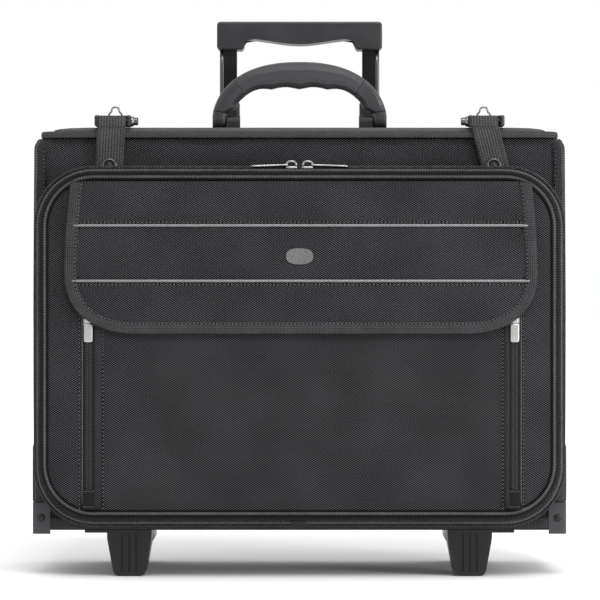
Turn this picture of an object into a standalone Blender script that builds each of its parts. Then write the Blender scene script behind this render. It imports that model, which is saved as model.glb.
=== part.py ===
"""Pilot rolling flight case: soft-sided catalog case on two rear wheels and two front feet.

Frame: X right, Y back, Z up, origin on the floor under the middle of the case.
Lengths in the constants are millimetres and are scaled to metres when meshes are made.
"""
import math

import bmesh
import bpy
from mathutils import Matrix, Vector

MM = 0.001
GAP = 0.3  # between touching pieces

# ---------------------------------------------------------------- driving sizes
BODY_W = 457.0  # outside of the side boards
BODY_FRONT = -56.5
BODY_BACK = 96.5
BODY_BOTTOM = 40.2
BODY_TOP = 378.0
BOARD_T = 4.0
CORNER_R = 7.0

LID_FRONT = -60.0
LID_REAR = 57.2
LID_HALF = 222.9
LID_LOW = 379.0
LID_BOARD_T = 4.6
LID_PAD_TOP = 388.3
LID_AXIS_Y = 58.0
LID_AXIS_Z = 388.0

STRIP_FRONT = 59.7
STRIP_TOP = 388.0

TUBE_X = 64.7
TUBE_Y = 80.0
OUTER_TUBE = (20.6, 17.0, 1.25)  # width, depth, wall
MID_TUBE = (17.5, 13.9, 0.75)
TOP_TUBE = (15.5, 11.9, 1.2)
COLLAR_TOP = 418.7
GRIP_TOP = 491.7
GRIP_HALF = 75.0
GRIP_DEPTH = 23.0
GRIP_LOW = 466.0

HANDLE_Y = 0.0
HANDLE_AXIS_Z = 398.0
ARCH_HALF = 78.0
ARCH_BASE = 390.0
ARCH_H = 59.2
ARCH_IN_HALF = 58.0
ARCH_IN_H = 35.0

LOCK_OUT = 176.8  # outer end of a lock body
LOCK_IN = 145.4
LOCK_TIP = 139.8  # tip of the push button
RECESS_IN = 148.2
RECESS_OUT = 173.4
PIN_Y = -59.6
PIN_Z = 393.6
PIN_R = 1.5
STRAP_W = 24.4
STRAP_T = 1.8
STRAP_X = 160.8
STRAP_SHIFT = 4.7  # how far out the strap's lower end sits
STRAP_END = 352.4
SNAP_Z = 357.8
SNAP_R = 5.2

PAN_FRONT = -93.7
PAN_REAR = -78.0
POCKET_R = 47.0
PAN_AXIS_Y = -78.0
PAN_AXIS_Z = 46.8

FLAP_TOP = 339.8
FLAP_BOTTOM = 210.0
FLAP_BACK = -98.3
FLAP_T = 2.2

ZIP_X = {"left": 179.6, "right": 183.0}
FOOT_X = 147.2
FOOT_FRONT = -54.0
FOOT_BACK = -20.0

WHEEL_X = 152.0
WHEEL_R = 29.0
WHEEL_W = 24.0
WHEEL_Y = 72.5
HOUSING_HALF = 21.0
SLOT_HALF = 13.0

# ---------------------------------------------------------------- clean start
for old in list(bpy.data.objects):
    bpy.data.objects.remove(old, do_unlink=True)

CASE = bpy.data.collections.new("pilot_flight_case")
CUTTERS = bpy.data.collections.new("cutters")
bpy.context.scene.collection.children.link(CASE)
bpy.context.scene.collection.children.link(CUTTERS)
CUTTERS.hide_render = True


def material(name, color, roughness, metallic=0.0):
    mat = bpy.data.materials.new(name)
    mat.use_nodes = True
    shader = mat.node_tree.nodes["Principled BSDF"]
    shader.inputs["Base Color"].default_value = (*color, 1.0)
    shader.inputs["Roughness"].default_value = roughness
    shader.inputs["Metallic"].default_value = metallic
    mat.diffuse_color = (*color, 1.0)
    return mat


NYLON = (0.047, 0.048, 0.051)
STRAP_GREY = (0.10, 0.10, 0.108)
LINING = (0.17, 0.17, 0.175)
GUARD = (0.058, 0.06, 0.066)
BLACK = (0.022, 0.022, 0.024)
SILVER = (0.62, 0.61, 0.59)


# ---------------------------------------------------------------- mesh helpers
def finish(name, bm, color, roughness, metallic=0.0, origin=(0.0, 0.0, 0.0), smooth=False):
    """Turn a bmesh in millimetres into a named object whose origin is `origin`."""
    bmesh.ops.recalc_face_normals(bm, faces=bm.faces)
    centre = Vector(origin)
    for vert in bm.verts:
        vert.co = (vert.co - centre) * MM
    mesh = bpy.data.meshes.new(name)
    bm.to_mesh(mesh)
    bm.free()
    for poly in mesh.polygons:
        poly.use_smooth = smooth
    obj = bpy.data.objects.new(name, mesh)
    obj.location = centre * MM
    mesh.materials.append(material("mat_" + name, color, roughness, metallic))
    CASE.objects.link(obj)
    return obj


def box_mesh(lo, hi, bevel=0.0, segments=2, vertical_only=False):
    bm = bmesh.new()
    bmesh.ops.create_cube(bm, size=1.0)
    size = [h - l for l, h in zip(lo, hi)]
    mid = [(l + h) / 2 for l, h in zip(lo, hi)]
    for vert in bm.verts:
        vert.co = Vector([c * s + m for c, s, m in zip(vert.co, size, mid)])
    if bevel:
        edges = list(bm.edges)
        if vertical_only:
            edges = [e for e in edges if abs(e.verts[0].co.z - e.verts[1].co.z) > 0.01]
        bmesh.ops.bevel(bm, geom=edges, offset=bevel, segments=segments, affect="EDGES", profile=0.5)
    return bm


def loft(rings, closed=False):
    """Skin a list of loops with the same number of points; closed joins last to first."""
    bm = bmesh.new()
    loops = [[bm.verts.new(p) for p in ring] for ring in rings]
    count = len(loops[0])
    spans = len(loops) if closed else len(loops) - 1
    for i in range(spans):
        a, b = loops[i], loops[(i + 1) % len(loops)]
        for j in range(count):
            k = (j + 1) % count
            bm.faces.new((a[j], a[k], b[k], b[j]))
    if not closed:
        bm.faces.new(list(reversed(loops[0])))
        bm.faces.new(loops[-1])
    return bm


def prism(points, axis, low, high, edge=0.0):
    """Extrude a 2D outline along an axis, with a small chamfer on both end faces."""
    other = {"x": (1, 2), "y": (0, 2), "z": (0, 1)}[axis]
    along = {"x": 0, "y": 1, "z": 2}[axis]
    cx = sum(p[0] for p in points) / len(points)
    cy = sum(p[1] for p in points) / len(points)

    def ring(level, inset):
        out = []
        for px, py in points:
            x, y = px, py
            if inset:
                d = math.hypot(px - cx, py - cy)
                f = (d - inset) / d
                x, y = cx + (px - cx) * f, cy + (py - cy) * f
            p = [0.0, 0.0, 0.0]
            p[other[0]], p[other[1]], p[along] = x, y, level
            out.append(p)
        return out

    if edge:
        return loft([ring(low, edge), ring(low + edge, 0), ring(high - edge, 0), ring(high, edge)])
    return loft([ring(low, 0), ring(high, 0)])


def rounded(x0, x1, z0, z1, radii, steps=6):
    """Rounded rectangle, counter-clockwise from the lower left corner; radii as ll, lr, ur, ul."""
    if not isinstance(radii, (tuple, list)):
        radii = (radii,) * 4
    centres = (
        (x0 + radii[0], z0 + radii[0], 180, radii[0]),
        (x1 - radii[1], z0 + radii[1], 270, radii[1]),
        (x1 - radii[2], z1 - radii[2], 0, radii[2]),
        (x0 + radii[3], z1 - radii[3], 90, radii[3]),
    )
    pts = []
    for cx, cz, start, r in centres:
        for i in range(steps + 1):
            a = math.radians(start + 90 * i / steps)
            pts.append((cx + r * math.cos(a), cz + r * math.sin(a)))
    return pts


def at_y(points, y):
    return [(px, y, pz) for px, pz in points]


def cylinder_mesh(centre, radius, length, axis, segments=24, bore=0.0, chamfer=0.0):
    """Solid or bored cylinder running `length` either way is measured from its middle."""
    half = length / 2
    profile = [(radius - chamfer, -half), (radius, -half + chamfer), (radius, half - chamfer), (radius - chamfer, half)]
    if not chamfer:
        profile = [(radius, -half), (radius, half)]
    if bore:
        profile = profile + [(bore, half), (bore, -half)]
    rings = []
    for r, h in profile:
        ring = []
        for i in range(segments):
            a = 2 * math.pi * i / segments
            c, s = r * math.cos(a), r * math.sin(a)
            p = {"x": (h, c, s), "y": (c, h, s), "z": (c, s, h)}[axis]
            ring.append([p[k] + centre[k] for k in range(3)])
        rings.append(ring)
    return loft(rings, closed=bool(bore))


def cutter(name, bm, target):
    bmesh.ops.recalc_face_normals(bm, faces=bm.faces)
    for vert in bm.verts:
        vert.co *= MM
    mesh = bpy.data.meshes.new(name)
    bm.to_mesh(mesh)
    bm.free()
    obj = bpy.data.objects.new(name, mesh)
    obj.display_type = "WIRE"
    obj.hide_render = True
    CUTTERS.objects.link(obj)
    mod = target.modifiers.new(name, "BOOLEAN")
    mod.operation = "DIFFERENCE"
    mod.solver = "EXACT"
    mod.object = obj
    return obj


def join_to(name, bm, target):
    obj = cutter(name, bm, target)
    target.modifiers[name].operation = "UNION"
    return obj


def tube_mesh(cx, cy, z0, z1, width, depth, wall, radius=3.0):
    """Rectangular tube with rounded edges, open at both ends."""

    def loop(inset, z):
        r = max(radius - inset, 0.6)
        pts = rounded(cx - width / 2 + inset, cx + width / 2 - inset, cy - depth / 2 + inset, cy + depth / 2 - inset, r, 3)
        return [(px, py, z) for px, py in pts]

    return loft([loop(0, z0), loop(0, z1), loop(wall, z1), loop(wall, z0)], closed=True)


SIDES = (("left", -1.0), ("right", 1.0))

# ---------------------------------------------------------------- body boards
half = BODY_W / 2
inner = half - BOARD_T
for side, s in SIDES:
    lo = (min(s * half, s * inner), BODY_FRONT, BODY_BOTTOM)
    hi = (max(s * half, s * inner), BODY_BACK, BODY_TOP - CORNER_R)
    finish("side_board_" + side, box_mesh(lo, hi, 1.2, 2), NYLON, 0.9)

board_half = inner - GAP
outline = rounded(-board_half, board_half, BODY_BOTTOM, BODY_TOP, (2.0, 2.0, CORNER_R, CORNER_R), 4)
finish("front_board", prism(outline, "y", BODY_FRONT, BODY_FRONT + BOARD_T), NYLON, 0.9)
back = finish("back_board", prism(outline, "y", BODY_BACK - BOARD_T, BODY_BACK), NYLON, 0.9)

floor = finish(
    "bottom_board",
    box_mesh(
        (-board_half, BODY_FRONT + BOARD_T + GAP, BODY_BOTTOM),
        (board_half, BODY_BACK - BOARD_T - GAP, BODY_BOTTOM + 6.0),
    ),
    LINING,
    0.85,
)
for side, s in SIDES:
    hx = HOUSING_HALF + GAP
    cutter(
        "cut_floor_" + side,
        box_mesh((s * WHEEL_X - hx, 40.0 - GAP, 30.0), (s * WHEEL_X + hx, 100.0, 60.0)),
        floor,
    )
    cutter(
        "cut_back_" + side,
        box_mesh((s * WHEEL_X - hx, 80.0, 30.0), (s * WHEEL_X + hx, 110.0, 66.0 + GAP)),
        back,
    )

frame_y0 = BODY_FRONT + BOARD_T + GAP
frame_y1 = BODY_BACK - BOARD_T - GAP
FRAME_LOW = 362.0


def frame_loop(inset, z, radius):
    pts = rounded(-board_half + inset, board_half - inset, frame_y0 + inset, frame_y1 - inset, radius, 4)
    return [(px, py, z) for px, py in pts]


finish(
    "mouth_frame",
    loft(
        [frame_loop(0, FRAME_LOW, 5), frame_loop(0, BODY_TOP, 5), frame_loop(3, BODY_TOP, 3), frame_loop(3, FRAME_LOW, 3)],
        closed=True,
    ),
    BLACK,
    0.5,
)

# ---------------------------------------------------------------- rear top strip and trolley guides
strip = finish(
    "rear_top_strip",
    box_mesh((-LID_HALF, STRIP_FRONT, BODY_TOP + GAP), (LID_HALF, BODY_BACK, STRIP_TOP), 2.0, 2),
    NYLON,
    0.9,
)
for side, s in SIDES:
    cutter(
        "cut_strip_" + side,
        box_mesh(
            (s * TUBE_X - MID_TUBE[0] / 2 - 0.4, TUBE_Y - MID_TUBE[1] / 2 - 0.4, 370.0),
            (s * TUBE_X + MID_TUBE[0] / 2 + 0.4, TUBE_Y + MID_TUBE[1] / 2 + 0.4, 400.0),
        ),
        strip,
    )
    # the collar's sleeve and its top chamfer
    cx, cy = s * TUBE_X, TUBE_Y
    cw, cd = 20.4, 17.0
    iw, idp = MID_TUBE[0] + 0.7, MID_TUBE[1] + 0.7

    def collar_loop(w, d, z, r):
        return [(px, py, z) for px, py in rounded(cx - w / 2, cx + w / 2, cy - d / 2, cy + d / 2, r, 4)]

    finish(
        "collar_" + side,
        loft(
            [
                collar_loop(cw, cd, STRIP_TOP + GAP, 3.4),
                collar_loop(cw, cd, COLLAR_TOP - 1.2, 3.4),
                collar_loop(cw - 1.2, cd - 1.2, COLLAR_TOP, 2.8),
                collar_loop(iw, idp, COLLAR_TOP, 2.4),
                collar_loop(iw, idp, STRIP_TOP + GAP, 2.4),
            ],
            closed=True,
        ),
        BLACK,
        0.45,
    )

base = finish(
    "trolley_base",
    box_mesh((-80.0, TUBE_Y - 8.5, 46.5), (80.0, TUBE_Y + 8.5, 58.0), 1.0, 1),
    BLACK,
    0.5,
)
for side, s in SIDES:
    join_to(
        "add_outer_" + side,
        tube_mesh(s * TUBE_X, TUBE_Y, 57.0, BODY_TOP - GAP, OUTER_TUBE[0], OUTER_TUBE[1], OUTER_TUBE[2]),
        base,
    )

cover_pts = [(-105, 66), (105, 66), (105, 91.9), (102, 91.9), (102, 69), (-102, 69), (-102, 91.9), (-105, 91.9)]
finish("trolley_cover", prism(cover_pts, "z", 46.5, 361.7), LINING, 0.85)

# telescoping stages
for side, s in SIDES:
    finish(
        "mid_tube_" + side,
        tube_mesh(s * TUBE_X, TUBE_Y, 62.0, COLLAR_TOP - 0.8, *MID_TUBE, radius=2.4),
        BLACK,
        0.35,
        0.6,
        origin=(s * TUBE_X, TUBE_Y, COLLAR_TOP),
    )
    finish(
        "top_tube_" + side,
        tube_mesh(s * TUBE_X, TUBE_Y, 110.0, 481.4, *TOP_TUBE, radius=2.2),
        BLACK,
        0.35,
        0.6,
        origin=(s * TUBE_X, TUBE_Y, GRIP_LOW),
    )


def under_bar(x):
    """Underside of the T-grip's bar: 476 at the end blocks, 471 in the middle."""
    t = abs(x) / 49.0
    return 476.0 - 5.0 * (0.5 + 0.5 * math.cos(math.pi * min(t, 1.0)))


grip_pts = [(-GRIP_HALF, GRIP_LOW + 2.5), (-GRIP_HALF + 2.5, GRIP_LOW), (-52.5, GRIP_LOW), (-50.6, GRIP_LOW + 2.0), (-50.2, 474.5)]
for i in range(13):
    x = -49.0 + 98.0 * i / 12
    grip_pts.append((x, under_bar(x)))
grip_pts += [(50.2, 474.5), (50.6, GRIP_LOW + 2.0), (52.5, GRIP_LOW), (GRIP_HALF - 2.5, GRIP_LOW), (GRIP_HALF, GRIP_LOW + 2.5)]
for a in (0, 30, 60, 90):
    grip_pts.append((GRIP_HALF - 3.2 + 3.2 * math.cos(math.radians(a)), GRIP_TOP - 3.2 + 3.2 * math.sin(math.radians(a))))
for a in (90, 120, 150, 180):
    grip_pts.append((-GRIP_HALF + 3.2 + 3.2 * math.cos(math.radians(a)), GRIP_TOP - 3.2 + 3.2 * math.sin(math.radians(a))))

grip_mesh = prism(grip_pts, "y", TUBE_Y - GRIP_DEPTH / 2, TUBE_Y + GRIP_DEPTH / 2)
rim_edges = [
    e
    for e in grip_mesh.edges
    if abs(e.verts[0].co.y - e.verts[1].co.y) < 1e-6 and len(e.link_faces) == 2
]
bmesh.ops.bevel(grip_mesh, geom=rim_edges, offset=1.6, segments=2, affect="EDGES", profile=0.5)
grip = finish("trolley_grip", grip_mesh, GUARD, 0.5, origin=(0.0, TUBE_Y, GRIP_LOW))
for side, s in SIDES:
    cutter(
        "cut_grip_" + side,
        box_mesh(
            (s * TUBE_X - TOP_TUBE[0] / 2 - GAP, TUBE_Y - TOP_TUBE[1] / 2 - GAP, 460.0),
            (s * TUBE_X + TOP_TUBE[0] / 2 + GAP, TUBE_Y + TOP_TUBE[1] / 2 + GAP, 481.8),
        ),
        grip,
    )
cutter("cut_grip_button", box_mesh((-16.0, TUBE_Y - 5.5, 483.0), (16.0, TUBE_Y + 5.5, 495.0)), grip)
finish(
    "trolley_button",
    box_mesh((-15.6, TUBE_Y - 5.1, 486.8), (15.6, TUBE_Y + 5.1, GRIP_TOP - 0.2), 0.8, 2),
    BLACK,
    0.4,
    origin=(0.0, TUBE_Y, 486.8),
)

# ---------------------------------------------------------------- inside
finish("divider", box_mesh((-222.0, 10.0, 46.5), (222.0, 18.0, 330.0), 2.5, 3), LINING, 0.95)

# ---------------------------------------------------------------- lid
lid_pts = rounded(-LID_HALF, LID_HALF, LID_FRONT, LID_REAR, (12.0, 12.0, 2.0, 2.0), 6)
finish(
    "lid_board",
    prism(lid_pts, "z", LID_LOW, LID_LOW + LID_BOARD_T),
    NYLON,
    0.9,
    origin=(0.0, LID_AXIS_Y, LID_AXIS_Z),
)
pad_low = LID_LOW + LID_BOARD_T + GAP


def pad_loop(inset, z):
    pts = rounded(-212.0 + inset, 212.0 - inset, -56.0 + inset, 54.0 - inset, (14.0 - inset * 0.5, 14.0 - inset * 0.5, 6.0, 6.0), 5)
    return [(px, py, z) for px, py in pts]


finish(
    "lid_pad",
    loft([pad_loop(0, pad_low), pad_loop(0, pad_low + 1.6), pad_loop(1.2, pad_low + 3.4), pad_loop(3.6, LID_PAD_TOP)]),
    NYLON,
    0.95,
    origin=(0.0, LID_AXIS_Y, LID_AXIS_Z),
)

# ---------------------------------------------------------------- carry handle
PLATE_LOW = LID_PAD_TOP + GAP


def arch_pair(phi):
    """Outer and inner points of the arch at one angle from the lid."""
    c, s = max(math.cos(phi), 0.0) if phi <= math.pi / 2 else math.cos(phi), math.sin(phi)
    sign = 1.0 if c >= 0 else -1.0
    c = abs(c)
    outer = (sign * ARCH_HALF * c ** (2 / 2.3), ARCH_BASE + ARCH_H * s ** (2 / 2.3))
    x_in = sign * ARCH_IN_HALF * c ** (2 / 3.5)
    z_in = ARCH_BASE + ARCH_IN_H * s ** (2 / 3.5)
    if abs(x_in) < 48.8:  # finger grooves
        z_in += 2.0 * abs(math.sin(math.pi * x_in / 24.4)) ** 0.8
    return outer, (x_in, z_in)


def section(outer, inn, half_depth, count=14):
    """Rounded cross-section between an outer and an inner point, spread along Y."""
    ox, oz = outer
    ix, iz = inn
    cx, cz = (ox + ix) / 2, (oz + iz) / 2
    ux, uz = (ox - ix) / 2, (oz - iz) / 2
    ring = []
    for i in range(count):
        a = 2 * math.pi * (i + 0.5) / count
        c, s = math.cos(a), math.sin(a)
        c = math.copysign(abs(c) ** 0.72, c)
        s = math.copysign(abs(s) ** 0.72, s)
        ring.append((cx + ux * c, HANDLE_Y + half_depth * s, cz + uz * c))
    return ring


SEAM = math.radians(44.6)
for side, s in SIDES:
    rings = []
    for z in (391.0, 391.8, 393.2, 395.3, 398.0, 401.5):
        d = math.sqrt(max(49.0 - (HANDLE_AXIS_Z - z) ** 2, 1.6)) if z < HANDLE_AXIS_Z else 7.0
        rings.append(section((77.0, z), (64.6, z), d))
    for i in range(8):
        phi = math.radians(13.0) + (SEAM - math.radians(13.0)) * i / 7
        o, n = arch_pair(phi)
        if i == 0:
            n = (64.4, 404.5)
        rings.append(section(o, n, 7.0 + 1.4 * i / 7))
    arm_mesh = loft([[(s * p[0], p[1], p[2]) for p in ring] for ring in rings])
    arm = finish("handle_arm_" + side, arm_mesh, GUARD, 0.5, origin=(s * 70.7, HANDLE_Y, HANDLE_AXIS_Z))
    cutter(
        "cut_arm_" + side,
        cylinder_mesh((s * 66.0, HANDLE_Y, HANDLE_AXIS_Z), 2.9, 14.0, "x", 20),
        arm,
    )
    # bracket: plate, block and a stub pin
    x0, x1 = sorted((s * 50.0, s * 79.5))
    bracket = finish(
        "handle_base_" + side,
        box_mesh((x0, -13.0, PLATE_LOW), (x1, 13.0, PLATE_LOW + 1.8), 0.6, 1),
        BLACK,
        0.45,
    )
    block = rounded(-5.6, 5.6, PLATE_LOW + 1.0, HANDLE_AXIS_Z + 3.4, (1.0, 1.0, 5.0, 5.0), 4)
    bx0, bx1 = sorted((s * 52.5, s * 64.2))
    join_to("add_block_" + side, prism(block, "x", bx0, bx1), bracket)
    join_to(
        "add_pin_" + side,
        cylinder_mesh((s * 67.6, HANDLE_Y, HANDLE_AXIS_Z), 2.5, 8.0, "x", 20),
        bracket,
    )

rings = []
steps = 34
start = SEAM + math.radians(0.45)
for i in range(steps + 1):
    phi = start + (math.pi - 2 * start) * i / steps
    o, n = arch_pair(phi)
    t = math.sin(math.pi * i / steps)
    rings.append(section(o, n, 8.5 + 1.0 * t, 16))
finish("handle_grip", loft(rings), BLACK, 0.7, origin=(0.0, HANDLE_Y, HANDLE_AXIS_Z), smooth=True)

# ---------------------------------------------------------------- locks, hasps, straps, snaps
for side, s in SIDES:
    x0, x1 = sorted((s * LOCK_IN, s * LOCK_OUT))
    lock_mesh = box_mesh((x0, -63.5, PLATE_LOW), (x1, -44.0, 398.4), 1.6, 2)
    lock = finish("lock_body_" + side, lock_mesh, BLACK, 0.4)
    r0, r1 = sorted((s * RECESS_IN, s * RECESS_OUT))
    cutter("cut_lock_" + side, box_mesh((r0, -70.0, 380.0), (r1, -55.4, 405.0)), lock)
    join_to(
        "add_rod_" + side,
        cylinder_mesh((s * (RECESS_IN + RECESS_OUT) / 2, PIN_Y, PIN_Z), PIN_R, RECESS_OUT - RECESS_IN + 3.6, "x", 16),
        lock,
    )
    cutter(
        "cut_button_" + side,
        cylinder_mesh((s * (LOCK_IN + 3.2), -49.6, 393.6), 3.7, 12.0, "x", 20),
        lock,
    )
    b_in, b_out = LOCK_TIP, LOCK_IN + 4.6
    finish(
        "lock_button_" + side,
        cylinder_mesh((s * (b_in + b_out) / 2, -49.6, 393.6), 3.4, b_out - b_in, "x", 20, chamfer=0.7),
        SILVER,
        0.15,
        1.0,
        origin=(s * b_in, -49.6, 393.6),
    )
    # hasp: upright square-wire staple standing on the lock
    hx = s * 159.6
    hasp_pts = []
    hw, top, wire = 5.3, 406.0, 1.4
    hasp_out = rounded(hx - hw, hx + hw, 398.4 + GAP, top, (0.05, 0.05, 2.4, 2.4), 4)
    staple = [(hx - hw, 398.7)] + [(hx - hw + 2.4 + 2.4 * math.cos(math.radians(a)), top - 2.4 + 2.4 * math.sin(math.radians(a))) for a in (180, 157.5, 135, 112.5, 90)]
    staple += [(hx + hw - 2.4 + 2.4 * math.cos(math.radians(a)), top - 2.4 + 2.4 * math.sin(math.radians(a))) for a in (90, 67.5, 45, 22.5, 0)]
    staple += [(hx + hw, 398.7), (hx + hw - wire, 398.7)]
    ri = 1.0
    staple += [(hx + hw - wire - ri + ri * math.cos(math.radians(a)), top - wire - ri + ri * math.sin(math.radians(a))) for a in (0, 45, 90)]
    staple += [(hx - hw + wire + ri + ri * math.cos(math.radians(a)), top - wire - ri + ri * math.sin(math.radians(a))) for a in (90, 135, 180)]
    staple += [(hx - hw + wire, 398.7)]
    finish("hasp_" + side, prism(staple, "y", -53.0, -51.4), SILVER, 0.2, 1.0)

    # strap: hooked round the rod, then down the front
    outer_r, inner_r = PIN_R + 0.4 + STRAP_T, PIN_R + 0.4
    prof_out, prof_in = [], []
    for i in range(15):
        a = math.radians(-58 + 238 * i / 14)  # from under the back, over the top, to the front
        prof_out.append((PIN_Y + outer_r * math.cos(a), PIN_Z + outer_r * math.sin(a)))
        prof_in.append((PIN_Y + inner_r * math.cos(a), PIN_Z + inner_r * math.sin(a)))
    yo = PIN_Y - outer_r
    down = [(0.0, 388.0), (0.0, 378.0), (0.55, 372.0), (1.5, 365.0), (2.0, 361.0), (2.0, STRAP_END)]
    prof_out += [(yo + d, z) for d, z in down]
    prof_in += [(yo + STRAP_T + d, z) for d, z in down]
    rings = []
    for (po, pz), (qo, qz) in zip(prof_out, prof_in):
        ring = []
        for dx, (py, pzz) in ((-1, (po, pz)), (1, (po, pz)), (1, (qo, qz)), (-1, (qo, qz))):
            drop = max(0.0, 388.0 - pz) / (388.0 - SNAP_Z)
            ring.append((s * (STRAP_X + STRAP_SHIFT * drop) + dx * STRAP_W / 2, py, pzz))
        rings.append(ring)
    bm = loft(rings)
    finish("strap_" + side, bm, STRAP_GREY, 0.85, origin=(s * STRAP_X, PIN_Y, PIN_Z))
    front_face = yo + 2.0 - GAP
    cap = [(SNAP_R - 0.2, 0.0), (SNAP_R, 0.5), (SNAP_R - 0.4, 1.3), (SNAP_R - 1.6, 1.8), (SNAP_R - 2.6, 1.3), (SNAP_R - 3.2, 1.2)]
    rings = []
    for r, h in cap:
        rings.append(
            [
                (s * (STRAP_X + STRAP_SHIFT) + r * math.cos(2 * math.pi * i / 24), front_face - h, SNAP_Z + r * math.sin(2 * math.pi * i / 24))
                for i in range(24)
            ]
        )
    finish("snap_" + side, loft(rings), SILVER, 0.2, 1.0, origin=(s * STRAP_X, PIN_Y, PIN_Z))

# ---------------------------------------------------------------- front pocket
def pocket_loop(half_w, z0, z1, radius, y):
    return at_y(rounded(-half_w, half_w, z0, z1, radius, 7), y)


WALL = 2.5
GUSSET = ((224.4, 46.8, 347.6, 47.6, BODY_FRONT - GAP), (226.2, 45.8, 350.4, 48.6, -64.4), (227.4, 45.0, 353.2, 49.4, -69.6), (227.4, 45.0, 353.2, 49.4, -73.0))
finish(
    "pocket_gusset",
    loft(
        [pocket_loop(w, lo, hi, r, y) for w, lo, hi, r, y in GUSSET]
        + [pocket_loop(w - WALL, lo + WALL, hi - WALL, r - WALL, y) for w, lo, hi, r, y in reversed(GUSSET)],
        closed=True,
    ),
    NYLON,
    0.95,
)
finish(
    "pocket_zip",
    loft(
        [
            pocket_loop(227.2, 45.2, 353.0, 49.2, -73.3),
            pocket_loop(226.0, 46.4, 351.9, 48.4, PAN_REAR + GAP),
            pocket_loop(223.6, 48.8, 349.5, 46.0, PAN_REAR + GAP),
            pocket_loop(224.8, 47.6, 350.6, 46.8, -73.3),
        ],
        closed=True,
    ),
    BLACK,
    0.6,
)
pan_rings = [
    pocket_loop(225.2, 47.2, 351.0, 48.0, PAN_REAR),
    pocket_loop(223.6, 48.8, 349.4, 46.8, -81.5),
    pocket_loop(217.4, 56.4, 344.2, 42.0, -92.0),
    pocket_loop(215.2, 58.6, 342.0, 40.0, PAN_FRONT),
]
pan_inner = [
    pocket_loop(213.4, 60.4, 340.2, 38.4, PAN_FRONT + 3.0),
    pocket_loop(219.8, 52.8, 345.8, 43.6, -82.5),
    pocket_loop(222.6, 49.8, 348.4, 45.4, PAN_REAR),
]
bm = bmesh.new()
loops = [[bm.verts.new(p) for p in ring] for ring in pan_rings + pan_inner]
count = len(loops[0])
order = [(0, 1), (1, 2), (2, 3), (4, 5), (5, 6), (6, 0)]
for ia, ib in order:
    a, b = loops[ia], loops[ib]
    for j in range(count):
        k = (j + 1) % count
        bm.faces.new((a[j], a[k], b[k], b[j]))
bm.faces.new(loops[3])
bm.faces.new(loops[4])
finish("pocket_pan", bm, NYLON, 0.95, origin=(0.0, PAN_AXIS_Y, PAN_AXIS_Z))


def flap_outline():
    pts = [(196.0, FLAP_TOP), (200.0, 300.0), (200.7, 262.0)]
    half_pts = list(pts)
    for i in range(1, 10):
        a = math.pi / 2 * i / 10
        x = 140.0 + 60.7 * math.cos(a) ** 0.91
        z = 260.0 - 50.0 * math.sin(a) ** 0.91
        half_pts.append((x, z))
    half_pts.append((140.0, FLAP_BOTTOM))
    return half_pts + [(-x, z) for x, z in reversed(half_pts)]


finish(
    "pocket_flap",
    prism(flap_outline(), "y", FLAP_BACK - FLAP_T, FLAP_BACK),
    NYLON,
    0.95,
    origin=(0.0, FLAP_BACK, FLAP_TOP),
)
badge_pts = [
    (11.6 * math.copysign(abs(math.cos(a)) ** 0.8, math.cos(a)), 276.0 + 7.0 * math.copysign(abs(math.sin(a)) ** 0.8, math.sin(a)))
    for a in (2 * math.pi * (i + 0.5) / 28 for i in range(28))
]
finish(
    "flap_badge",
    prism(badge_pts, "y", -101.5, FLAP_BACK - FLAP_T - GAP, 0.25),
    SILVER,
    0.2,
    1.0,
    origin=(0.0, FLAP_BACK, FLAP_TOP),
)

# side zip sliders and pulls
for side, s in SIDES:
    zx = s * ZIP_X[side]
    finish(
        "side_slider_" + side,
        box_mesh((zx - 4.2, -96.8, 216.5), (zx + 4.2, -95.4, 228.0), 0.5, 1),
        SILVER,
        0.25,
        1.0,
        origin=(zx, -96.8, 216.5),
    )
    tag = rounded(zx - 4.15, zx + 4.15, 203.0, 214.6, (1.6, 1.6, 1.2, 1.2), 4)
    cut = len(tag) // 4 * 3
    neck = [(zx + 2.1, 215.4), (zx + 2.1, 217.8), (zx + 1.5, 218.6), (zx - 1.5, 218.6), (zx - 2.1, 217.8), (zx - 2.1, 215.4)]
    pull = tag[:cut] + neck + tag[cut:]
    finish("side_pull_" + side, prism(pull, "y", -98.0, -97.1), SILVER, 0.25, 1.0, origin=(zx, -97.55, 218.2))
    # top zip
    sx = s * 1.0
    t0, t1 = sorted((s * 1.0, s * 12.6))
    finish(
        "top_slider_" + side,
        box_mesh((t0, -79.8, 353.6), (t1, -71.4, 355.4), 0.5, 1),
        SILVER,
        0.25,
        1.0,
        origin=(s * 6.8, -75.6, 355.4),
    )
    p0, p1 = sorted((s * 10.2, s * 41.2))
    flat = rounded(p0, p1, -79.1, -72.1, 2.0, 4)
    finish("top_pull_" + side, prism(flat, "z", 355.7, 356.8), SILVER, 0.25, 1.0, origin=(s * 10.6, -75.6, 356.25))

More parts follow.
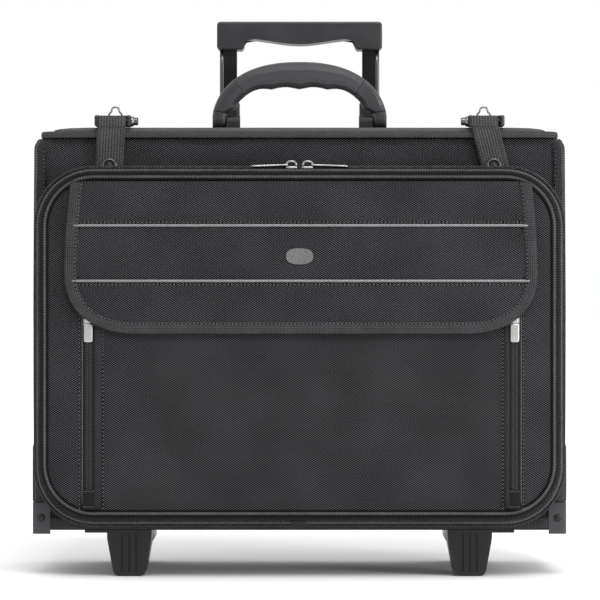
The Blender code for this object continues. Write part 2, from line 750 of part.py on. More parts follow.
# ---------------------------------------------------------------- feet, guards, wheels
for side, s in SIDES:
    cx = s * FOOT_X
    pts = [(-19.4, 37.6), (-18.8, 30.0), (-14.6, 7.0)]
    pts += [(-8.6 + 5.6 * math.cos(math.radians(a)), 5.6 + 5.6 * math.sin(math.radians(a))) for a in (190, 215, 240, 270)]
    pts += [(8.6 + 5.6 * math.cos(math.radians(a)), 5.6 + 5.6 * math.sin(math.radians(a))) for a in (270, 300, 325, 350)]
    pts += [(14.6, 7.0), (18.8, 30.0), (19.4, 37.6), (38.0, 37.6), (38.6, 38.2), (38.6, BODY_BOTTOM - GAP), (-19.4, BODY_BOTTOM - GAP)]
    world = [(cx + s * px, pz) for px, pz in pts]
    foot_mesh = prism(world, "y", FOOT_FRONT, FOOT_BACK)
    foot = finish("front_foot_" + side, foot_mesh, BLACK, 0.5)
    for n, off in enumerate((-6.0, 0.0, 6.0)):
        cutter(
            "cut_foot_%s_%d" % (side, n),
            box_mesh((cx + off - 0.9, FOOT_FRONT - 3.0, 4.4), (cx + off + 0.9, FOOT_FRONT + 1.6, 37.0)),
            foot,
        )

    g = [(215.2, -58.9)]
    g += [(228.3 + 2.2 * math.cos(math.radians(a)), -56.7 + 2.2 * math.sin(math.radians(a))) for a in (270, 300, 330, 360)]
    g += [(230.5, -37.0), (228.9, -37.0), (228.9, -56.8), (215.2, -56.8)]
    finish("corner_guard_" + side, prism([(s * px, py) for px, py in g], "z", 37.0, 64.0), GUARD, 0.5)

    wx = s * WHEEL_X
    housing = finish(
        "wheel_housing_" + side,
        box_mesh((wx - HOUSING_HALF, 40.0, 21.8), (wx + HOUSING_HALF, 97.6, 66.0), 2.5, 2),
        BLACK,
        0.5,
    )
    cutter(
        "cut_arch_" + side,
        cylinder_mesh((wx, WHEEL_Y, WHEEL_R), WHEEL_R + 3.0, 2 * SLOT_HALF, "x", 40),
        housing,
    )
    cutter(
        "cut_axle_" + side,
        cylinder_mesh((wx, WHEEL_Y, WHEEL_R), 4.3, 60.0, "x", 20),
        housing,
    )
    finish(
        "wheel_axle_" + side,
        cylinder_mesh((wx, WHEEL_Y, WHEEL_R), 4.0, 2 * HOUSING_HALF, "x", 20, chamfer=0.5),
        SILVER,
        0.3,
        1.0,
        origin=(wx, WHEEL_Y, WHEEL_R),
    )
    hw = WHEEL_W / 2
    tyre = [(4.4, -hw + 1.5), (21.5, -hw + 1.5), (22.5, -hw), (26.5, -hw), (28.3, -hw + 2.0), (29.0, -hw + 6.0), (29.0, hw - 6.0), (28.3, hw - 2.0), (26.5, hw), (22.5, hw), (21.5, hw - 1.5), (4.4, hw - 1.5)]
    rings = []
    for r, h in tyre:
        rings.append(
            [
                (wx + h, WHEEL_Y + r * math.cos(2 * math.pi * i / 36), WHEEL_R + r * math.sin(2 * math.pi * i / 36))
                for i in range(36)
            ]
        )
    finish("wheel_" + side, loft(rings, closed=True), BLACK, 0.6, origin=(wx, WHEEL_Y, WHEEL_R), smooth=True)
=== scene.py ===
import math
import random

import bpy
import numpy as np
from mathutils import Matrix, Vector


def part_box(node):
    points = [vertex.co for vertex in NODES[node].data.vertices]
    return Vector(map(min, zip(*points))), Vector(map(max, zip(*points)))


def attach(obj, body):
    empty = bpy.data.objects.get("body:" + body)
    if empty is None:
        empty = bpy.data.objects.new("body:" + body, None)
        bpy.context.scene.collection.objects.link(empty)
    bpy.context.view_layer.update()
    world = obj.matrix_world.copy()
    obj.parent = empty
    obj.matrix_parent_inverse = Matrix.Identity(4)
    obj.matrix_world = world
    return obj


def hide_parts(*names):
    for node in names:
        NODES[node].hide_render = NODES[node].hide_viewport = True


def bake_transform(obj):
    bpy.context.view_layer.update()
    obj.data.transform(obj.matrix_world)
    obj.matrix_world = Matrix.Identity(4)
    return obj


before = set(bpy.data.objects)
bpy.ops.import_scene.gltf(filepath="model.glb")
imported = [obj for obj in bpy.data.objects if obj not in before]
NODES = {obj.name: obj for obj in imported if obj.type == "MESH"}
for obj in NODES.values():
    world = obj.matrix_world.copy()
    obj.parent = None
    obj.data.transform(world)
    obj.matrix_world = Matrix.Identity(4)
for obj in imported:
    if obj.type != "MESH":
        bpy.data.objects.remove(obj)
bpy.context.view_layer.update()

MM = 0.001
random.seed(7)


# ------------------------------------------------------------------ materials
def new_mat(name):
    m = bpy.data.materials.new(name)
    m.use_nodes = True
    nt = m.node_tree
    return m, nt, nt.nodes["Principled BSDF"]


def nd(nt, kind, **props):
    n = nt.nodes.new(kind)
    for k, v in props.items():
        setattr(n, k, v)
    return n


def math_node(nt, op, a, b=None, c=None):
    n = nd(nt, "ShaderNodeMath", operation=op)
    for i, v in enumerate((a, b, c)):
        if v is None:
            continue
        if isinstance(v, (int, float)):
            n.inputs[i].default_value = v
        else:
            nt.links.new(v, n.inputs[i])
    return n.outputs[0]


def noise(nt, vec, scale, detail=3.0, rough=0.55, distortion=0.0):
    n = nd(nt, "ShaderNodeTexNoise")
    n.inputs["Scale"].default_value = scale
    n.inputs["Detail"].default_value = detail
    n.inputs["Roughness"].default_value = rough
    n.inputs["Distortion"].default_value = distortion
    if vec is not None:
        nt.links.new(vec, n.inputs["Vector"])
    return n.outputs["Fac"]


def ramp(nt, fac, stops):
    n = nd(nt, "ShaderNodeValToRGB")
    cr = n.color_ramp
    while len(cr.elements) < len(stops):
        cr.elements.new(0.5)
    for e, (p, c) in zip(cr.elements, stops):
        e.position = p
        e.color = (*c, 1.0) if len(c) == 3 else c
    nt.links.new(fac, n.inputs["Fac"])
    return n.outputs["Color"]


def bump(nt, height, dist, strength, prev=None):
    n = nd(nt, "ShaderNodeBump")
    n.inputs["Distance"].default_value = dist
    n.inputs["Strength"].default_value = strength
    nt.links.new(height, n.inputs["Height"])
    if prev is not None:
        nt.links.new(prev, n.inputs["Normal"])
    return n.outputs["Normal"]


def map_range(nt, v, a, b, c, d):
    n = nd(nt, "ShaderNodeMapRange")
    n.inputs["From Min"].default_value = a
    n.inputs["From Max"].default_value = b
    n.inputs["To Min"].default_value = c
    n.inputs["To Max"].default_value = d
    nt.links.new(v, n.inputs["Value"])
    return n.outputs["Result"]


def grey(v, warm=0.0, cool=0.0):
    return (v * (1 + warm), v, v * (1 + cool))


def weave_mat(name, dark, light, px=2.74, pz=1.86, rough=0.88, sheen=0.0, strength=1.0, diag=0.12, lean0=0.78):
    """Dobby nylon: staggered floats, from a UV map in millimetres."""
    m, nt, sh = new_mat(name)
    uv = nd(nt, "ShaderNodeUVMap", uv_map="UVMap")
    sep = nd(nt, "ShaderNodeSeparateXYZ")
    nt.links.new(uv.outputs[0], sep.inputs[0])
    u, v = sep.outputs[0], sep.outputs[1]
    # slow drift of the threads, so that the pattern isn't ruled
    drift = noise(nt, uv.outputs[0], 0.035, 2.0)
    du = math_node(nt, "MULTIPLY", math_node(nt, "SUBTRACT", drift, 0.5), 0.9)
    a = math_node(nt, "MULTIPLY", math_node(nt, "ADD", u, du), 2 * math.pi / px)
    b = math_node(nt, "MULTIPLY", math_node(nt, "ADD", v, du), 2 * math.pi / pz)
    d1 = math_node(nt, "COSINE", math_node(nt, "ADD", a, b))
    d2 = math_node(nt, "COSINE", math_node(nt, "SUBTRACT", a, b))
    lean = map_range(nt, noise(nt, uv.outputs[0], 0.018, 1.0), 0.35, 0.65, lean0 - diag, lean0 + diag)
    mix = math_node(nt, "ADD", math_node(nt, "MULTIPLY", d1, lean), math_node(nt, "MULTIPLY", d2, math_node(nt, "SUBTRACT", 1.0, lean)))
    thread = math_node(nt, "MULTIPLY", math_node(nt, "COSINE", math_node(nt, "MULTIPLY", v, 2 * math.pi / (pz * 0.5))), 0.12)
    fine = math_node(nt, "MULTIPLY", math_node(nt, "SUBTRACT", noise(nt, uv.outputs[0], 1.7, 2.0), 0.5), 0.7)
    h = math_node(nt, "ADD", math_node(nt, "ADD", mix, thread), fine)
    fac = map_range(nt, h, -0.35, 0.95, 0.0, 1.0)
    broad = map_range(nt, noise(nt, uv.outputs[0], 0.011, 3.0), 0.3, 0.7, -0.03, 0.03)
    fac2 = math_node(nt, "ADD", fac, broad)
    mid = tuple((x * 0.8 + y * 0.2) for x, y in zip(dark, light))
    col = ramp(nt, fac2, [(0.06, dark), (0.45, mid), (0.95, light)])
    nt.links.new(col, sh.inputs["Base Color"])
    nt.links.new(map_range(nt, fac, 0.0, 1.0, min(rough + 0.1, 1.0), rough - 0.16), sh.inputs["Roughness"])
    soft = noise(nt, uv.outputs[0], 0.02, 2.0)
    n1 = bump(nt, soft, 0.0008, 0.2)
    nt.links.new(bump(nt, fac, 0.0004, strength, n1), sh.inputs["Normal"])
    sh.inputs["Sheen Weight"].default_value = sheen
    sh.inputs["Sheen Roughness"].default_value = 0.45
    sh.inputs["Specular IOR Level"].default_value = 0.07
    return m


def rib_mat(name, dark, light, pitch_u=1.55, pitch_v=0.9, ratio=0.5, rough=0.8, sheen=0.3, strength=0.6):
    """Webbing, grosgrain and tape: ribs along and across, from a UV map in millimetres."""
    m, nt, sh = new_mat(name)
    uv = nd(nt, "ShaderNodeUVMap", uv_map="UVMap")
    sep = nd(nt, "ShaderNodeSeparateXYZ")
    nt.links.new(uv.outputs[0], sep.inputs[0])
    u, v = sep.outputs[0], sep.outputs[1]
    jit = math_node(nt, "MULTIPLY", noise(nt, uv.outputs[0], 0.25, 2.0), 0.9)
    cu = math_node(nt, "COSINE", math_node(nt, "MULTIPLY", math_node(nt, "ADD", u, jit), 2 * math.pi / pitch_u))
    cv = math_node(nt, "COSINE", math_node(nt, "MULTIPLY", math_node(nt, "ADD", v, jit), 2 * math.pi / pitch_v))
    mix = math_node(nt, "ADD", math_node(nt, "MULTIPLY", cu, ratio), math_node(nt, "MULTIPLY", cv, 1 - ratio))
    fine = math_node(nt, "MULTIPLY", math_node(nt, "SUBTRACT", noise(nt, uv.outputs[0], 0.75, 4.0, 0.7), 0.5), 2.6)
    fac = map_range(nt, math_node(nt, "ADD", mix, fine), -1.1, 1.2, 0.0, 1.0)
    broad = map_range(nt, noise(nt, uv.outputs[0], 0.05, 2.0), 0.3, 0.7, -0.1, 0.1)
    col = ramp(nt, math_node(nt, "ADD", fac, broad), [(0.0, dark), (1.0, light)])
    nt.links.new(col, sh.inputs["Base Color"])
    nt.links.new(map_range(nt, fac, 0.0, 1.0, rough + 0.08, rough - 0.12), sh.inputs["Roughness"])
    nt.links.new(bump(nt, fac, 0.0003, strength), sh.inputs["Normal"])
    sh.inputs["Specular IOR Level"].default_value = 0.15
    sh.inputs["Sheen Weight"].default_value = sheen
    sh.inputs["Sheen Roughness"].default_value = 0.4
    return m


def plastic_mat(name, base, rough=0.45, grain=2600.0, depth=0.00006, spec=0.5, wear=0.25, coat=0.0):
    """Moulded plastic or rubber: fine spark grain, slight mottling and paler rubbed edges."""
    m, nt, sh = new_mat(name)
    tc = nd(nt, "ShaderNodeTexCoord")
    o = tc.outputs["Object"]
    g = noise(nt, o, grain, 2.0, 0.6)
    mott = noise(nt, o, 38.0, 4.0, 0.6)
    geo = nd(nt, "ShaderNodeNewGeometry")
    edge = map_range(nt, geo.outputs["Pointiness"], 0.51, 0.60, 0.0, wear)
    fac = math_node(nt, "ADD", map_range(nt, mott, 0.3, 0.7, 0.25, 0.6), edge)
    dark = tuple(c * 0.78 for c in base)
    light = tuple(min(c * 1.55 + 0.004, 1.0) for c in base)
    col = ramp(nt, fac, [(0.0, dark), (0.5, base), (1.0, light)])
    nt.links.new(col, sh.inputs["Base Color"])
    nt.links.new(map_range(nt, mott, 0.25, 0.75, rough - 0.05, rough + 0.09), sh.inputs["Roughness"])
    nt.links.new(bump(nt, g, depth, 0.5), sh.inputs["Normal"])
    sh.inputs["Specular IOR Level"].default_value = spec
    if coat:
        sh.inputs["Coat Weight"].default_value = coat
        sh.inputs["Coat Roughness"].default_value = 0.2
    return m


def metal_mat(name, base, rough=0.2, brushed=None, var=0.12):
    m, nt, sh = new_mat(name)
    tc = nd(nt, "ShaderNodeTexCoord")
    vec = tc.outputs["Object"]
    if brushed:
        mp = nd(nt, "ShaderNodeMapping")
        mp.inputs["Scale"].default_value = brushed
        nt.links.new(vec, mp.inputs["Vector"])
        vec = mp.outputs[0]
    scr = noise(nt, vec, 900.0, 3.0)
    mott = noise(nt, tc.outputs["Object"], 60.0, 3.0)
    col = ramp(nt, mott, [(0.25, tuple(c * 0.88 for c in base)), (0.75, base)])
    nt.links.new(col, sh.inputs["Base Color"])
    nt.links.new(map_range(nt, scr, 0.3, 0.7, max(rough - var * 0.5, 0.03), rough + var), sh.inputs["Roughness"])
    nt.links.new(bump(nt, scr, 0.00003, 0.25), sh.inputs["Normal"])
    sh.inputs["Metallic"].default_value = 1.0
    return m


def thread_mat(name, base):
    m, nt, sh = new_mat(name)
    tc = nd(nt, "ShaderNodeTexCoord")
    n = noise(nt, tc.outputs["Object"], 2500.0, 2.0)
    col = ramp(nt, n, [(0.3, tuple(c * 0.6 for c in base)), (0.7, base)])
    nt.links.new(col, sh.inputs["Base Color"])
    nt.links.new(bump(nt, n, 0.0001, 0.4), sh.inputs["Normal"])
    sh.inputs["Roughness"].default_value = 0.65
    sh.inputs["Sheen Weight"].default_value = 0.3
    return m


M_WEAVE = weave_mat("nylon_dobby", grey(0.0005), grey(0.098, cool=0.10))
# painted light: a slightly lighter copy of the body nylon for the side boards, gusset, rear top strip and corner
# bindings
M_WEAVE_LIGHTER = weave_mat("nylon_dobby_painted_lighter", grey(0.0008), grey(0.100, cool=0.10))
# padded nylon of the lid top with a finer weave; its colour is raised well above the body nylon to paint the light on
# its upward face
M_PAD_LIGHTER = weave_mat("nylon_padded_painted_lighter", grey(0.040), grey(0.185, cool=0.08), px=2.2, pz=1.5, strength=0.6)
M_BIND = rib_mat("binding_grosgrain", grey(0.005), grey(0.062, cool=0.08), 1.9, 1.5, 0.45, 0.85, 0.0, 0.8)
M_LIDBIND = rib_mat("lid_binding_tape", grey(0.012), grey(0.066, cool=0.03), 1.8, 1.4, 0.6, 0.85, 0.02, 0.7)
M_WEB = rib_mat("strap_webbing", grey(0.009), grey(0.083, cool=0.05), 2.45, 1.5, 0.68, 0.8, 0.03, 0.9)
M_PIPE = rib_mat("piping_fabric", grey(0.006), grey(0.090, cool=0.08), 2.6, 2.2, 0.5, 0.75, 0.02, 0.6)
M_TAPE = rib_mat("zip_tape", grey(0.003), grey(0.016), 0.9, 1.1, 0.5, 0.88, 0.0, 0.6)
M_COIL = plastic_mat("zip_coil", (0.013, 0.013, 0.014), 0.42, 1800.0, 0.00003, 0.3, 0.5)
# glossy vinyl piping on the flap; its pale grey colour paints in the gloss highlight, on top of the real gloss from the
# coat
M_GLOSS_PIPE_PAINTED = plastic_mat("piping_vinyl_painted_highlight", (0.125, 0.126, 0.131), 0.28, 900.0, 0.00008, 0.6, 0.15, 0.3)
M_LINING = rib_mat("lining_taffeta", grey(0.10), grey(0.17, cool=0.02), 0.8, 0.8, 0.5, 0.75, 0.1, 0.3)
M_GUARD = plastic_mat("guard_plastic", (0.030, 0.031, 0.035), 0.42, 2600.0, 0.00006, 0.35)
M_BLACK = plastic_mat("black_plastic", (0.010, 0.010, 0.011), 0.36, 2600.0, 0.00006, 0.35)
M_FOOT = plastic_mat("foot_plastic", (0.011, 0.0112, 0.012), 0.36, 2600.0, 0.00006, 0.3)
M_GRIPBAR = plastic_mat("grip_bar_plastic", (0.0185, 0.019, 0.0215), 0.4, 2200.0, 0.00008, 0.35)
M_RUBBER = plastic_mat("grip_rubber", (0.0345, 0.035, 0.038), 0.42, 1500.0, 0.00014, 0.35)
M_ARM = plastic_mat("arm_plastic", (0.0275, 0.0285, 0.032), 0.34, 1800.0, 0.0001, 0.4)
M_TYRE = plastic_mat("tyre_rubber", (0.010, 0.010, 0.011), 0.6, 700.0, 0.0002, 0.3)
M_TUBE = plastic_mat("tube_black_anodised", (0.0045, 0.0045, 0.005), 0.24, 900.0, 0.00003, 0.16, 0.3)
# painted highlight: paler metal for the strips on the tubes' outer edges
M_TUBE_PAINTED_HIGHLIGHT = metal_mat("tube_edge_anodised", (0.115, 0.116, 0.12), 0.34, (60.0, 60.0, 1.2))
M_CHROME = metal_mat("bright_nickel", (0.36, 0.353, 0.34), 0.3)
M_PULL = metal_mat("satin_nickel", (0.49, 0.485, 0.475), 0.36)
M_PEWTER = metal_mat("pewter", (0.25, 0.25, 0.255), 0.26)
M_GUN = metal_mat("gunmetal", (0.12, 0.12, 0.125), 0.26)
M_STEEL = metal_mat("axle_steel", (0.5, 0.5, 0.51), 0.32)
M_THREAD = thread_mat("thread", (0.050, 0.050, 0.053))
M_THREAD_PALE = thread_mat("thread_pale", (0.085, 0.085, 0.089))
# painted shade: near-black used for the dark of the stitch holes, the grooves beside the front piping and the flap
# binding, and the arm seams
M_SEAM_SHADOW = rib_mat("seam_shadow", grey(0.0012), grey(0.004), 0.9, 0.9, 0.5, 0.95, 0.0, 0.3)


# ------------------------------------------------------------------ mesh helpers
def link(obj):
    bpy.context.scene.collection.objects.link(obj)
    return obj


def place(obj, body, replaces=()):
    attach(obj, body)
    if replaces:
        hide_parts(*replaces)
    return obj


def mesh_obj(name, verts, faces, mat, uvs=None, smooth=True):
    me = bpy.data.meshes.new(name)
    me.from_pydata([(x * MM, y * MM, z * MM) for x, y, z in verts], [], faces)
    me.materials.append(mat)
    me.polygons.foreach_set("use_smooth", [smooth] * len(me.polygons))
    layer = me.uv_layers.new(name="UVMap")
    if uvs is not None:
        layer.data.foreach_set("uv", np.asarray(uvs, np.float32).ravel())
    me.update()
    obj = link(bpy.data.objects.new(name, me))
    if uvs is None:
        box_uv(obj)
    return obj


def box_uv(obj):
    """UV map in millimetres from each face's main direction."""
    me = obj.data
    layer = me.uv_layers.get("UVMap") or me.uv_layers.new(name="UVMap")
    co = np.empty(len(me.vertices) * 3, np.float64)
    me.vertices.foreach_get("co", co)
    co = co.reshape(-1, 3) * 1000.0
    for p in me.polygons:
        n = [abs(c) for c in p.normal]
        k = n.index(max(n))
        a, b = ((1, 2), (0, 2), (0, 1))[k]
        for li in p.loop_indices:
            c = co[me.loops[li].vertex_index]
            layer.data[li].uv = (c[a], c[b])


def grid(name, P, mat, close_u=False, close_v=False, caps=False, smooth=True, flip=False, uv_box=False, holes=None):
    """Mesh from P[v][u]; UVs are lengths in millimetres along both directions."""
    P = np.asarray(P, float)
    nv, nu = P.shape[:2]
    verts = P.reshape(-1, 3)
    du = np.linalg.norm(np.diff(np.concatenate([P, P[:, :1]], 1), axis=1), axis=2).mean(0)
    dv = np.linalg.norm(np.diff(np.concatenate([P, P[:1]], 0), axis=0), axis=2).mean(1)
    U = np.concatenate([[0], np.cumsum(du)])
    V = np.concatenate([[0], np.cumsum(dv)])
    faces, uvs = [], []
    for j in range(nv if close_v else nv - 1):
        for i in range(nu if close_u else nu - 1):
            if holes and holes(j, i):
                continue
            j2, i2 = (j + 1) % nv, (i + 1) % nu
            q = [(j, i, V[j], U[i]), (j, i2, V[j], U[i + 1]), (j2, i2, V[j + 1], U[i + 1]), (j2, i, V[j + 1], U[i])]
            if flip:
                q.reverse()
            faces.append([a * nu + b for a, b, _, _ in q])
            uvs += [(u, v) for _, _, v, u in q]
    if caps and close_u:
        for j, rev in ((0, True), (nv - 1, False)):
            loop = [j * nu + i for i in range(nu)]
            if rev != flip:
                loop.reverse()
            faces.append(loop)
            c = verts[loop]
            spread = c.max(0) - c.min(0)
            k = int(np.argmin(spread))
            a, b = ((1, 2), (0, 2), (0, 1))[k]
            uvs += [(q[a], q[b]) for q in c]
    return mesh_obj(name, verts.tolist(), faces, mat, None if uv_box else uvs, smooth)


def rr_path(x0, x1, z0, z1, radii, step=8.0, arc=9, spans=None):
    """Closed rounded-rectangle path: points and outward normals, from the lower left corner."""
    if not isinstance(radii, (list, tuple)):
        radii = (radii,) * 4
    cs = ((x0 + radii[0], z0 + radii[0], 180, radii[0]), (x1 - radii[1], z0 + radii[1], 270, radii[1]),
          (x1 - radii[2], z1 - radii[2], 0, radii[2]), (x0 + radii[3], z1 - radii[3], 90, radii[3]))
    pts, nrm = [], []
    for k, (cx, cz, a0, r) in enumerate(cs):
        for i in range(arc + 1):
            a = math.radians(a0 + 90 * i / arc)
            pts.append((cx + r * math.cos(a), cz + r * math.sin(a)))
            nrm.append((math.cos(a), math.sin(a)))
        nx, nz, na, nr = cs[(k + 1) % 4]
        b = math.radians(na)
        end = (nx + nr * math.cos(b), nz + nr * math.sin(b))
        start = pts[-1]
        n = spans[k % 2] if spans else max(int(math.dist(start, end) / step), 1)
        for i in range(1, n):
            t = i / n
            pts.append((start[0] + (end[0] - start[0]) * t, start[1] + (end[1] - start[1]) * t))
            nrm.append((math.cos(a), math.sin(a)))
    return np.array(pts), np.array(nrm)


def ring_at(path, normals, y, d=0.0):
    """Path in XZ, moved out by d, at depth y."""
    p = path + normals * d
    return np.column_stack([p[:, 0], np.full(len(p), y), p[:, 1]])


def sweep_xz(name, path, normals, section, mat, closed=True, caps=False, smooth=True):
    """Sweep a closed section of (outward, y) pairs along an XZ path."""
    P = []
    for (px, pz), (nx, nz) in zip(path, normals):
        P.append([(px + nx * d, y, pz + nz * d) for d, y in section])
    return grid(name, P, mat, close_u=True, close_v=closed, caps=caps, smooth=smooth)


def circle_section(d0, y0, r, n=12):
    return [(d0 + r * math.cos(2 * math.pi * i / n), y0 + r * math.sin(2 * math.pi * i / n)) for i in range(n)]


def tube_along(name, pts, r, mat, n=10, closed=False, caps=True):
    """Round tube along 3D points in millimetres."""
    pts = [Vector(p) for p in pts]
    m = len(pts)
    P = []
    prev = None
    for i, p in enumerate(pts):
        a = pts[(i - 1) % m] if (closed or i > 0) else p
        b = pts[(i + 1) % m] if (closed or i < m - 1) else p
        t = (b - a).normalized()
        if prev is None:
            side = t.cross(Vector((0, 1, 0)))
            if side.length < 0.1:
                side = t.cross(Vector((1, 0, 0)))
        else:
            side = prev - t * prev.dot(t)
        side.normalize()
        prev = side
        up = t.cross(side)
        P.append([tuple(p + side * (r * math.cos(2 * math.pi * k / n)) + up * (r * math.sin(2 * math.pi * k / n))) for k in range(n)])
    return grid(name, P, mat, close_u=True, close_v=closed, caps=caps and not closed)


def stitches(name, pts, normal, mat, pitch=3.6, length=2.3, width=0.62, height=0.38, tilt=0.0, closed=False, hole=0.85):
    """A row of raised thread stitches along 3D points; normal is one vector or one per point."""
    pts = np.asarray(pts, float)
    if closed:
        pts = np.concatenate([pts, pts[:1]])
    seg = np.linalg.norm(np.diff(pts, axis=0), axis=1)
    cum = np.concatenate([[0], np.cumsum(seg)])
    total = cum[-1]
    normals = np.asarray(normal, float)
    per = normals.ndim == 2
    if per and closed:
        normals = np.concatenate([normals, normals[:1]])
    verts, faces, holes = [], [], []
    count = int(total / pitch)
    for k in range(count):
        s = (k + 0.5) * total / count
        i = min(int(np.searchsorted(cum, s)) - 1, len(seg) - 1)
        i = max(i, 0)
        t = (s - cum[i]) / max(seg[i], 1e-9)
        c = pts[i] * (1 - t) + pts[i + 1] * t
        d = (pts[i + 1] - pts[i]) / max(seg[i], 1e-9)
        n = (normals[i] * (1 - t) + normals[i + 1] * t) if per else normals
        n = n / np.linalg.norm(n)
        w = np.cross(d, n)
        w /= max(np.linalg.norm(w), 1e-9)
        if tilt:
            sgn = tilt if k % 2 else -tilt
            d, w = d * math.cos(sgn) + w * math.sin(sgn), w * math.cos(sgn) - d * math.sin(sgn)
        L, W, H = length / 2, width / 2, height
        base = len(verts)
        prof = ((-L, 0.25, 0.05), (-L * 0.6, 1.0, 0.8), (0.0, 1.0, 1.0), (L * 0.6, 1.0, 0.8), (L, 0.25, 0.05))
        for a, ws, hs in prof:
            for bx, bz in ((-1, -0.25), (-0.7, 0.7), (0, 1.0), (0.7, 0.7), (1, -0.25)):
                verts.append(c + d * a + w * (bx * W * ws) + n * (bz * H * hs))
        for a in range(4):
            for b in range(4):
                q = base + a * 5 + b
                faces.append((q, q + 1, q + 6, q + 5))
            q = base + a * 5
            faces.append((q + 4, q, q + 5, q + 9))
        faces.append(tuple(base + b for b in (4, 3, 2, 1, 0)))
        faces.append(tuple(base + 20 + b for b in range(5)))
        # painted shade: each gap between stitches gets a shallow dimple in the near-black shade colour, for the dark of
        # the needle hole
        if hole:
            h = c + d * pitch * 0.5 + n * 0.07
            base = len(verts)
            for q in range(8):
                a = 2 * math.pi * q / 8
                verts.append(h + d * (hole * 0.95 * math.cos(a)) + w * (hole * 0.62 * math.sin(a)))
            for q in range(8):
                verts.append(verts[base + q] - n * 0.12)
            holes.append(len(faces))
            faces.append(tuple(base + q for q in range(8)))
            for q in range(8):
                holes.append(len(faces))
                faces.append((base + q, base + 8 + q, base + 8 + (q + 1) % 8, base + (q + 1) % 8))
            holes.append(len(faces))
            faces.append(tuple(base + 15 - q for q in range(8)))
    obj = mesh_obj(name, [tuple(v) for v in verts], faces, mat)
    obj.data.materials.append(M_SEAM_SHADOW)
    for f in holes:
        obj.data.polygons[f].material_index = 1
    return recalc(obj)


def lathe(name, profile, centre, axis, mat, n=32, smooth=True, closed=False):
    """Turned piece: profile of (radius, along) about an axis."""
    P = []
    for r, h in profile:
        row = []
        for i in range(n):
            a = 2 * math.pi * i / n
            c, s = r * math.cos(a), r * math.sin(a)
            q = {"x": (h, c, s), "y": (c, h, s), "z": (c, s, h)}[axis]
            row.append([q[k] + centre[k] for k in range(3)])
        P.append(row)
    obj = grid(name, P, mat, close_u=True, close_v=closed, caps=not closed, smooth=smooth)
    return obj


def recalc(obj):
    import bmesh

    bm = bmesh.new()
    bm.from_mesh(obj.data)
    bmesh.ops.recalc_face_normals(bm, faces=bm.faces)
    bm.to_mesh(obj.data)
    bm.free()
    return obj


def bevel_mod(obj, width, segments=2, angle=35.0):
    m = obj.modifiers.new("edge", "BEVEL")
    m.width = width * MM
    m.segments = segments
    m.limit_method = "ANGLE"
    m.angle_limit = math.radians(angle)
    return obj


def thick(obj, t, offset=-1.0):
    m = obj.modifiers.new("skin", "SOLIDIFY")
    m.thickness = t * MM
    m.offset = offset
    return obj


def dress(node, mat, smooth_angle=None):
    """Give a CAD node a finished material and a UV map."""
    o = NODES[node]
    o.data.materials.clear()
    o.data.materials.append(mat)
    if not o.data.uv_layers.get("UVMap"):
        o.data.uv_layers.new(name="UVMap")
    box_uv(o)
    return o


SIDES = (("left", -1.0), ("right", 1.0))

# ------------------------------------------------------------------ CAD nodes that stay, with finished materials
for node, mat in (
    ("mouth_frame", M_BLACK), ("trolley_base", M_TUBE), ("trolley_cover", M_LINING), ("bottom_board", M_BLACK),
    ("collar_left", M_BLACK), ("collar_right", M_BLACK), ("trolley_grip", M_GRIPBAR), ("trolley_button", M_BLACK),
    ("mid_tube_left", M_TUBE), ("mid_tube_right", M_TUBE), ("top_tube_left", M_TUBE), ("top_tube_right", M_TUBE),
    ("handle_base_left", M_BLACK), ("handle_base_right", M_BLACK), ("handle_arm_left", M_ARM), ("handle_arm_right", M_ARM),
    ("handle_grip", M_RUBBER), ("lock_body_left", M_BLACK), ("lock_body_right", M_BLACK),
    ("lock_button_left", M_GUN), ("lock_button_right", M_GUN),
    ("front_foot_left", M_FOOT), ("front_foot_right", M_FOOT), ("corner_guard_left", M_GUARD), ("corner_guard_right", M_GUARD),
    ("wheel_housing_left", M_BLACK), ("wheel_housing_right", M_BLACK), ("wheel_axle_left", M_STEEL), ("wheel_axle_right", M_STEEL),
    ("side_board_left", M_WEAVE_LIGHTER), ("side_board_right", M_WEAVE_LIGHTER), ("front_board", M_WEAVE), ("back_board", M_WEAVE),
    ("lid_board", M_LIDBIND), ("rear_top_strip", M_WEAVE_LIGHTER),
    ("snap_left", M_GUN), ("snap_right", M_GUN), ("flap_badge", M_PEWTER),
    ("side_slider_left", M_CHROME), ("side_slider_right", M_CHROME), ("top_slider_left", M_CHROME), ("top_slider_right", M_CHROME),
    ("side_pull_left", M_PULL), ("side_pull_right", M_PULL), ("top_pull_left", M_CHROME), ("top_pull_right", M_CHROME),
):
    dress(node, mat)
for node in ("corner_guard_left", "corner_guard_right", "trolley_grip", "collar_left", "collar_right"):
    bevel_mod(NODES[node], 1.2, 3, 40)
for node in ("lock_body_left", "lock_body_right", "front_foot_left", "front_foot_right", "handle_base_left", "handle_base_right"):
    bevel_mod(NODES[node], 0.4, 2, 40)

# ------------------------------------------------------------------ body cover
HALF = 229.1
Y0, Y1 = -57.2, 97.2
BX = [130.4, 173.6]  # wheel housing notch


def body_outline(d):
    """Plan outline of the fabric cover, inset by d, with fixed points at the notches."""
    r = 7.0
    pts = []
    for cx, cy, a0 in ((-HALF + r, Y0 + r, 180), (HALF - r, Y0 + r, 270), (HALF - r, Y1 - r, 0), (-HALF + r, Y1 - r, 90)):
        for i in range(7):
            a = math.radians(a0 + 15 * i)
            rr = max(r - d, 0.5)
            ox, oy = (d if cx < 0 else -d) + 0, (d if cy < 0 else -d)
            pts.append((cx + (ox if r <= d else 0) + rr * math.cos(a), cy + (oy if r <= d else 0) + rr * math.sin(a)))
        if a0 == 180:
            pts += [(x, Y0 + d) for x in np.linspace(-200, 200, 21)]
        elif a0 == 270:
            pts += [(HALF - d, y) for y in np.linspace(-40, 80, 9)]
        elif a0 == 0:
            xs = sorted(list(np.linspace(-200, 200, 17)) + [-BX[1], -BX[0], BX[0], BX[1]], reverse=True)
            pts += [(x, Y1 - d) for x in xs]
        else:
            pts += [(-HALF + d, y) for y in np.linspace(80, -40, 9)]
    return pts


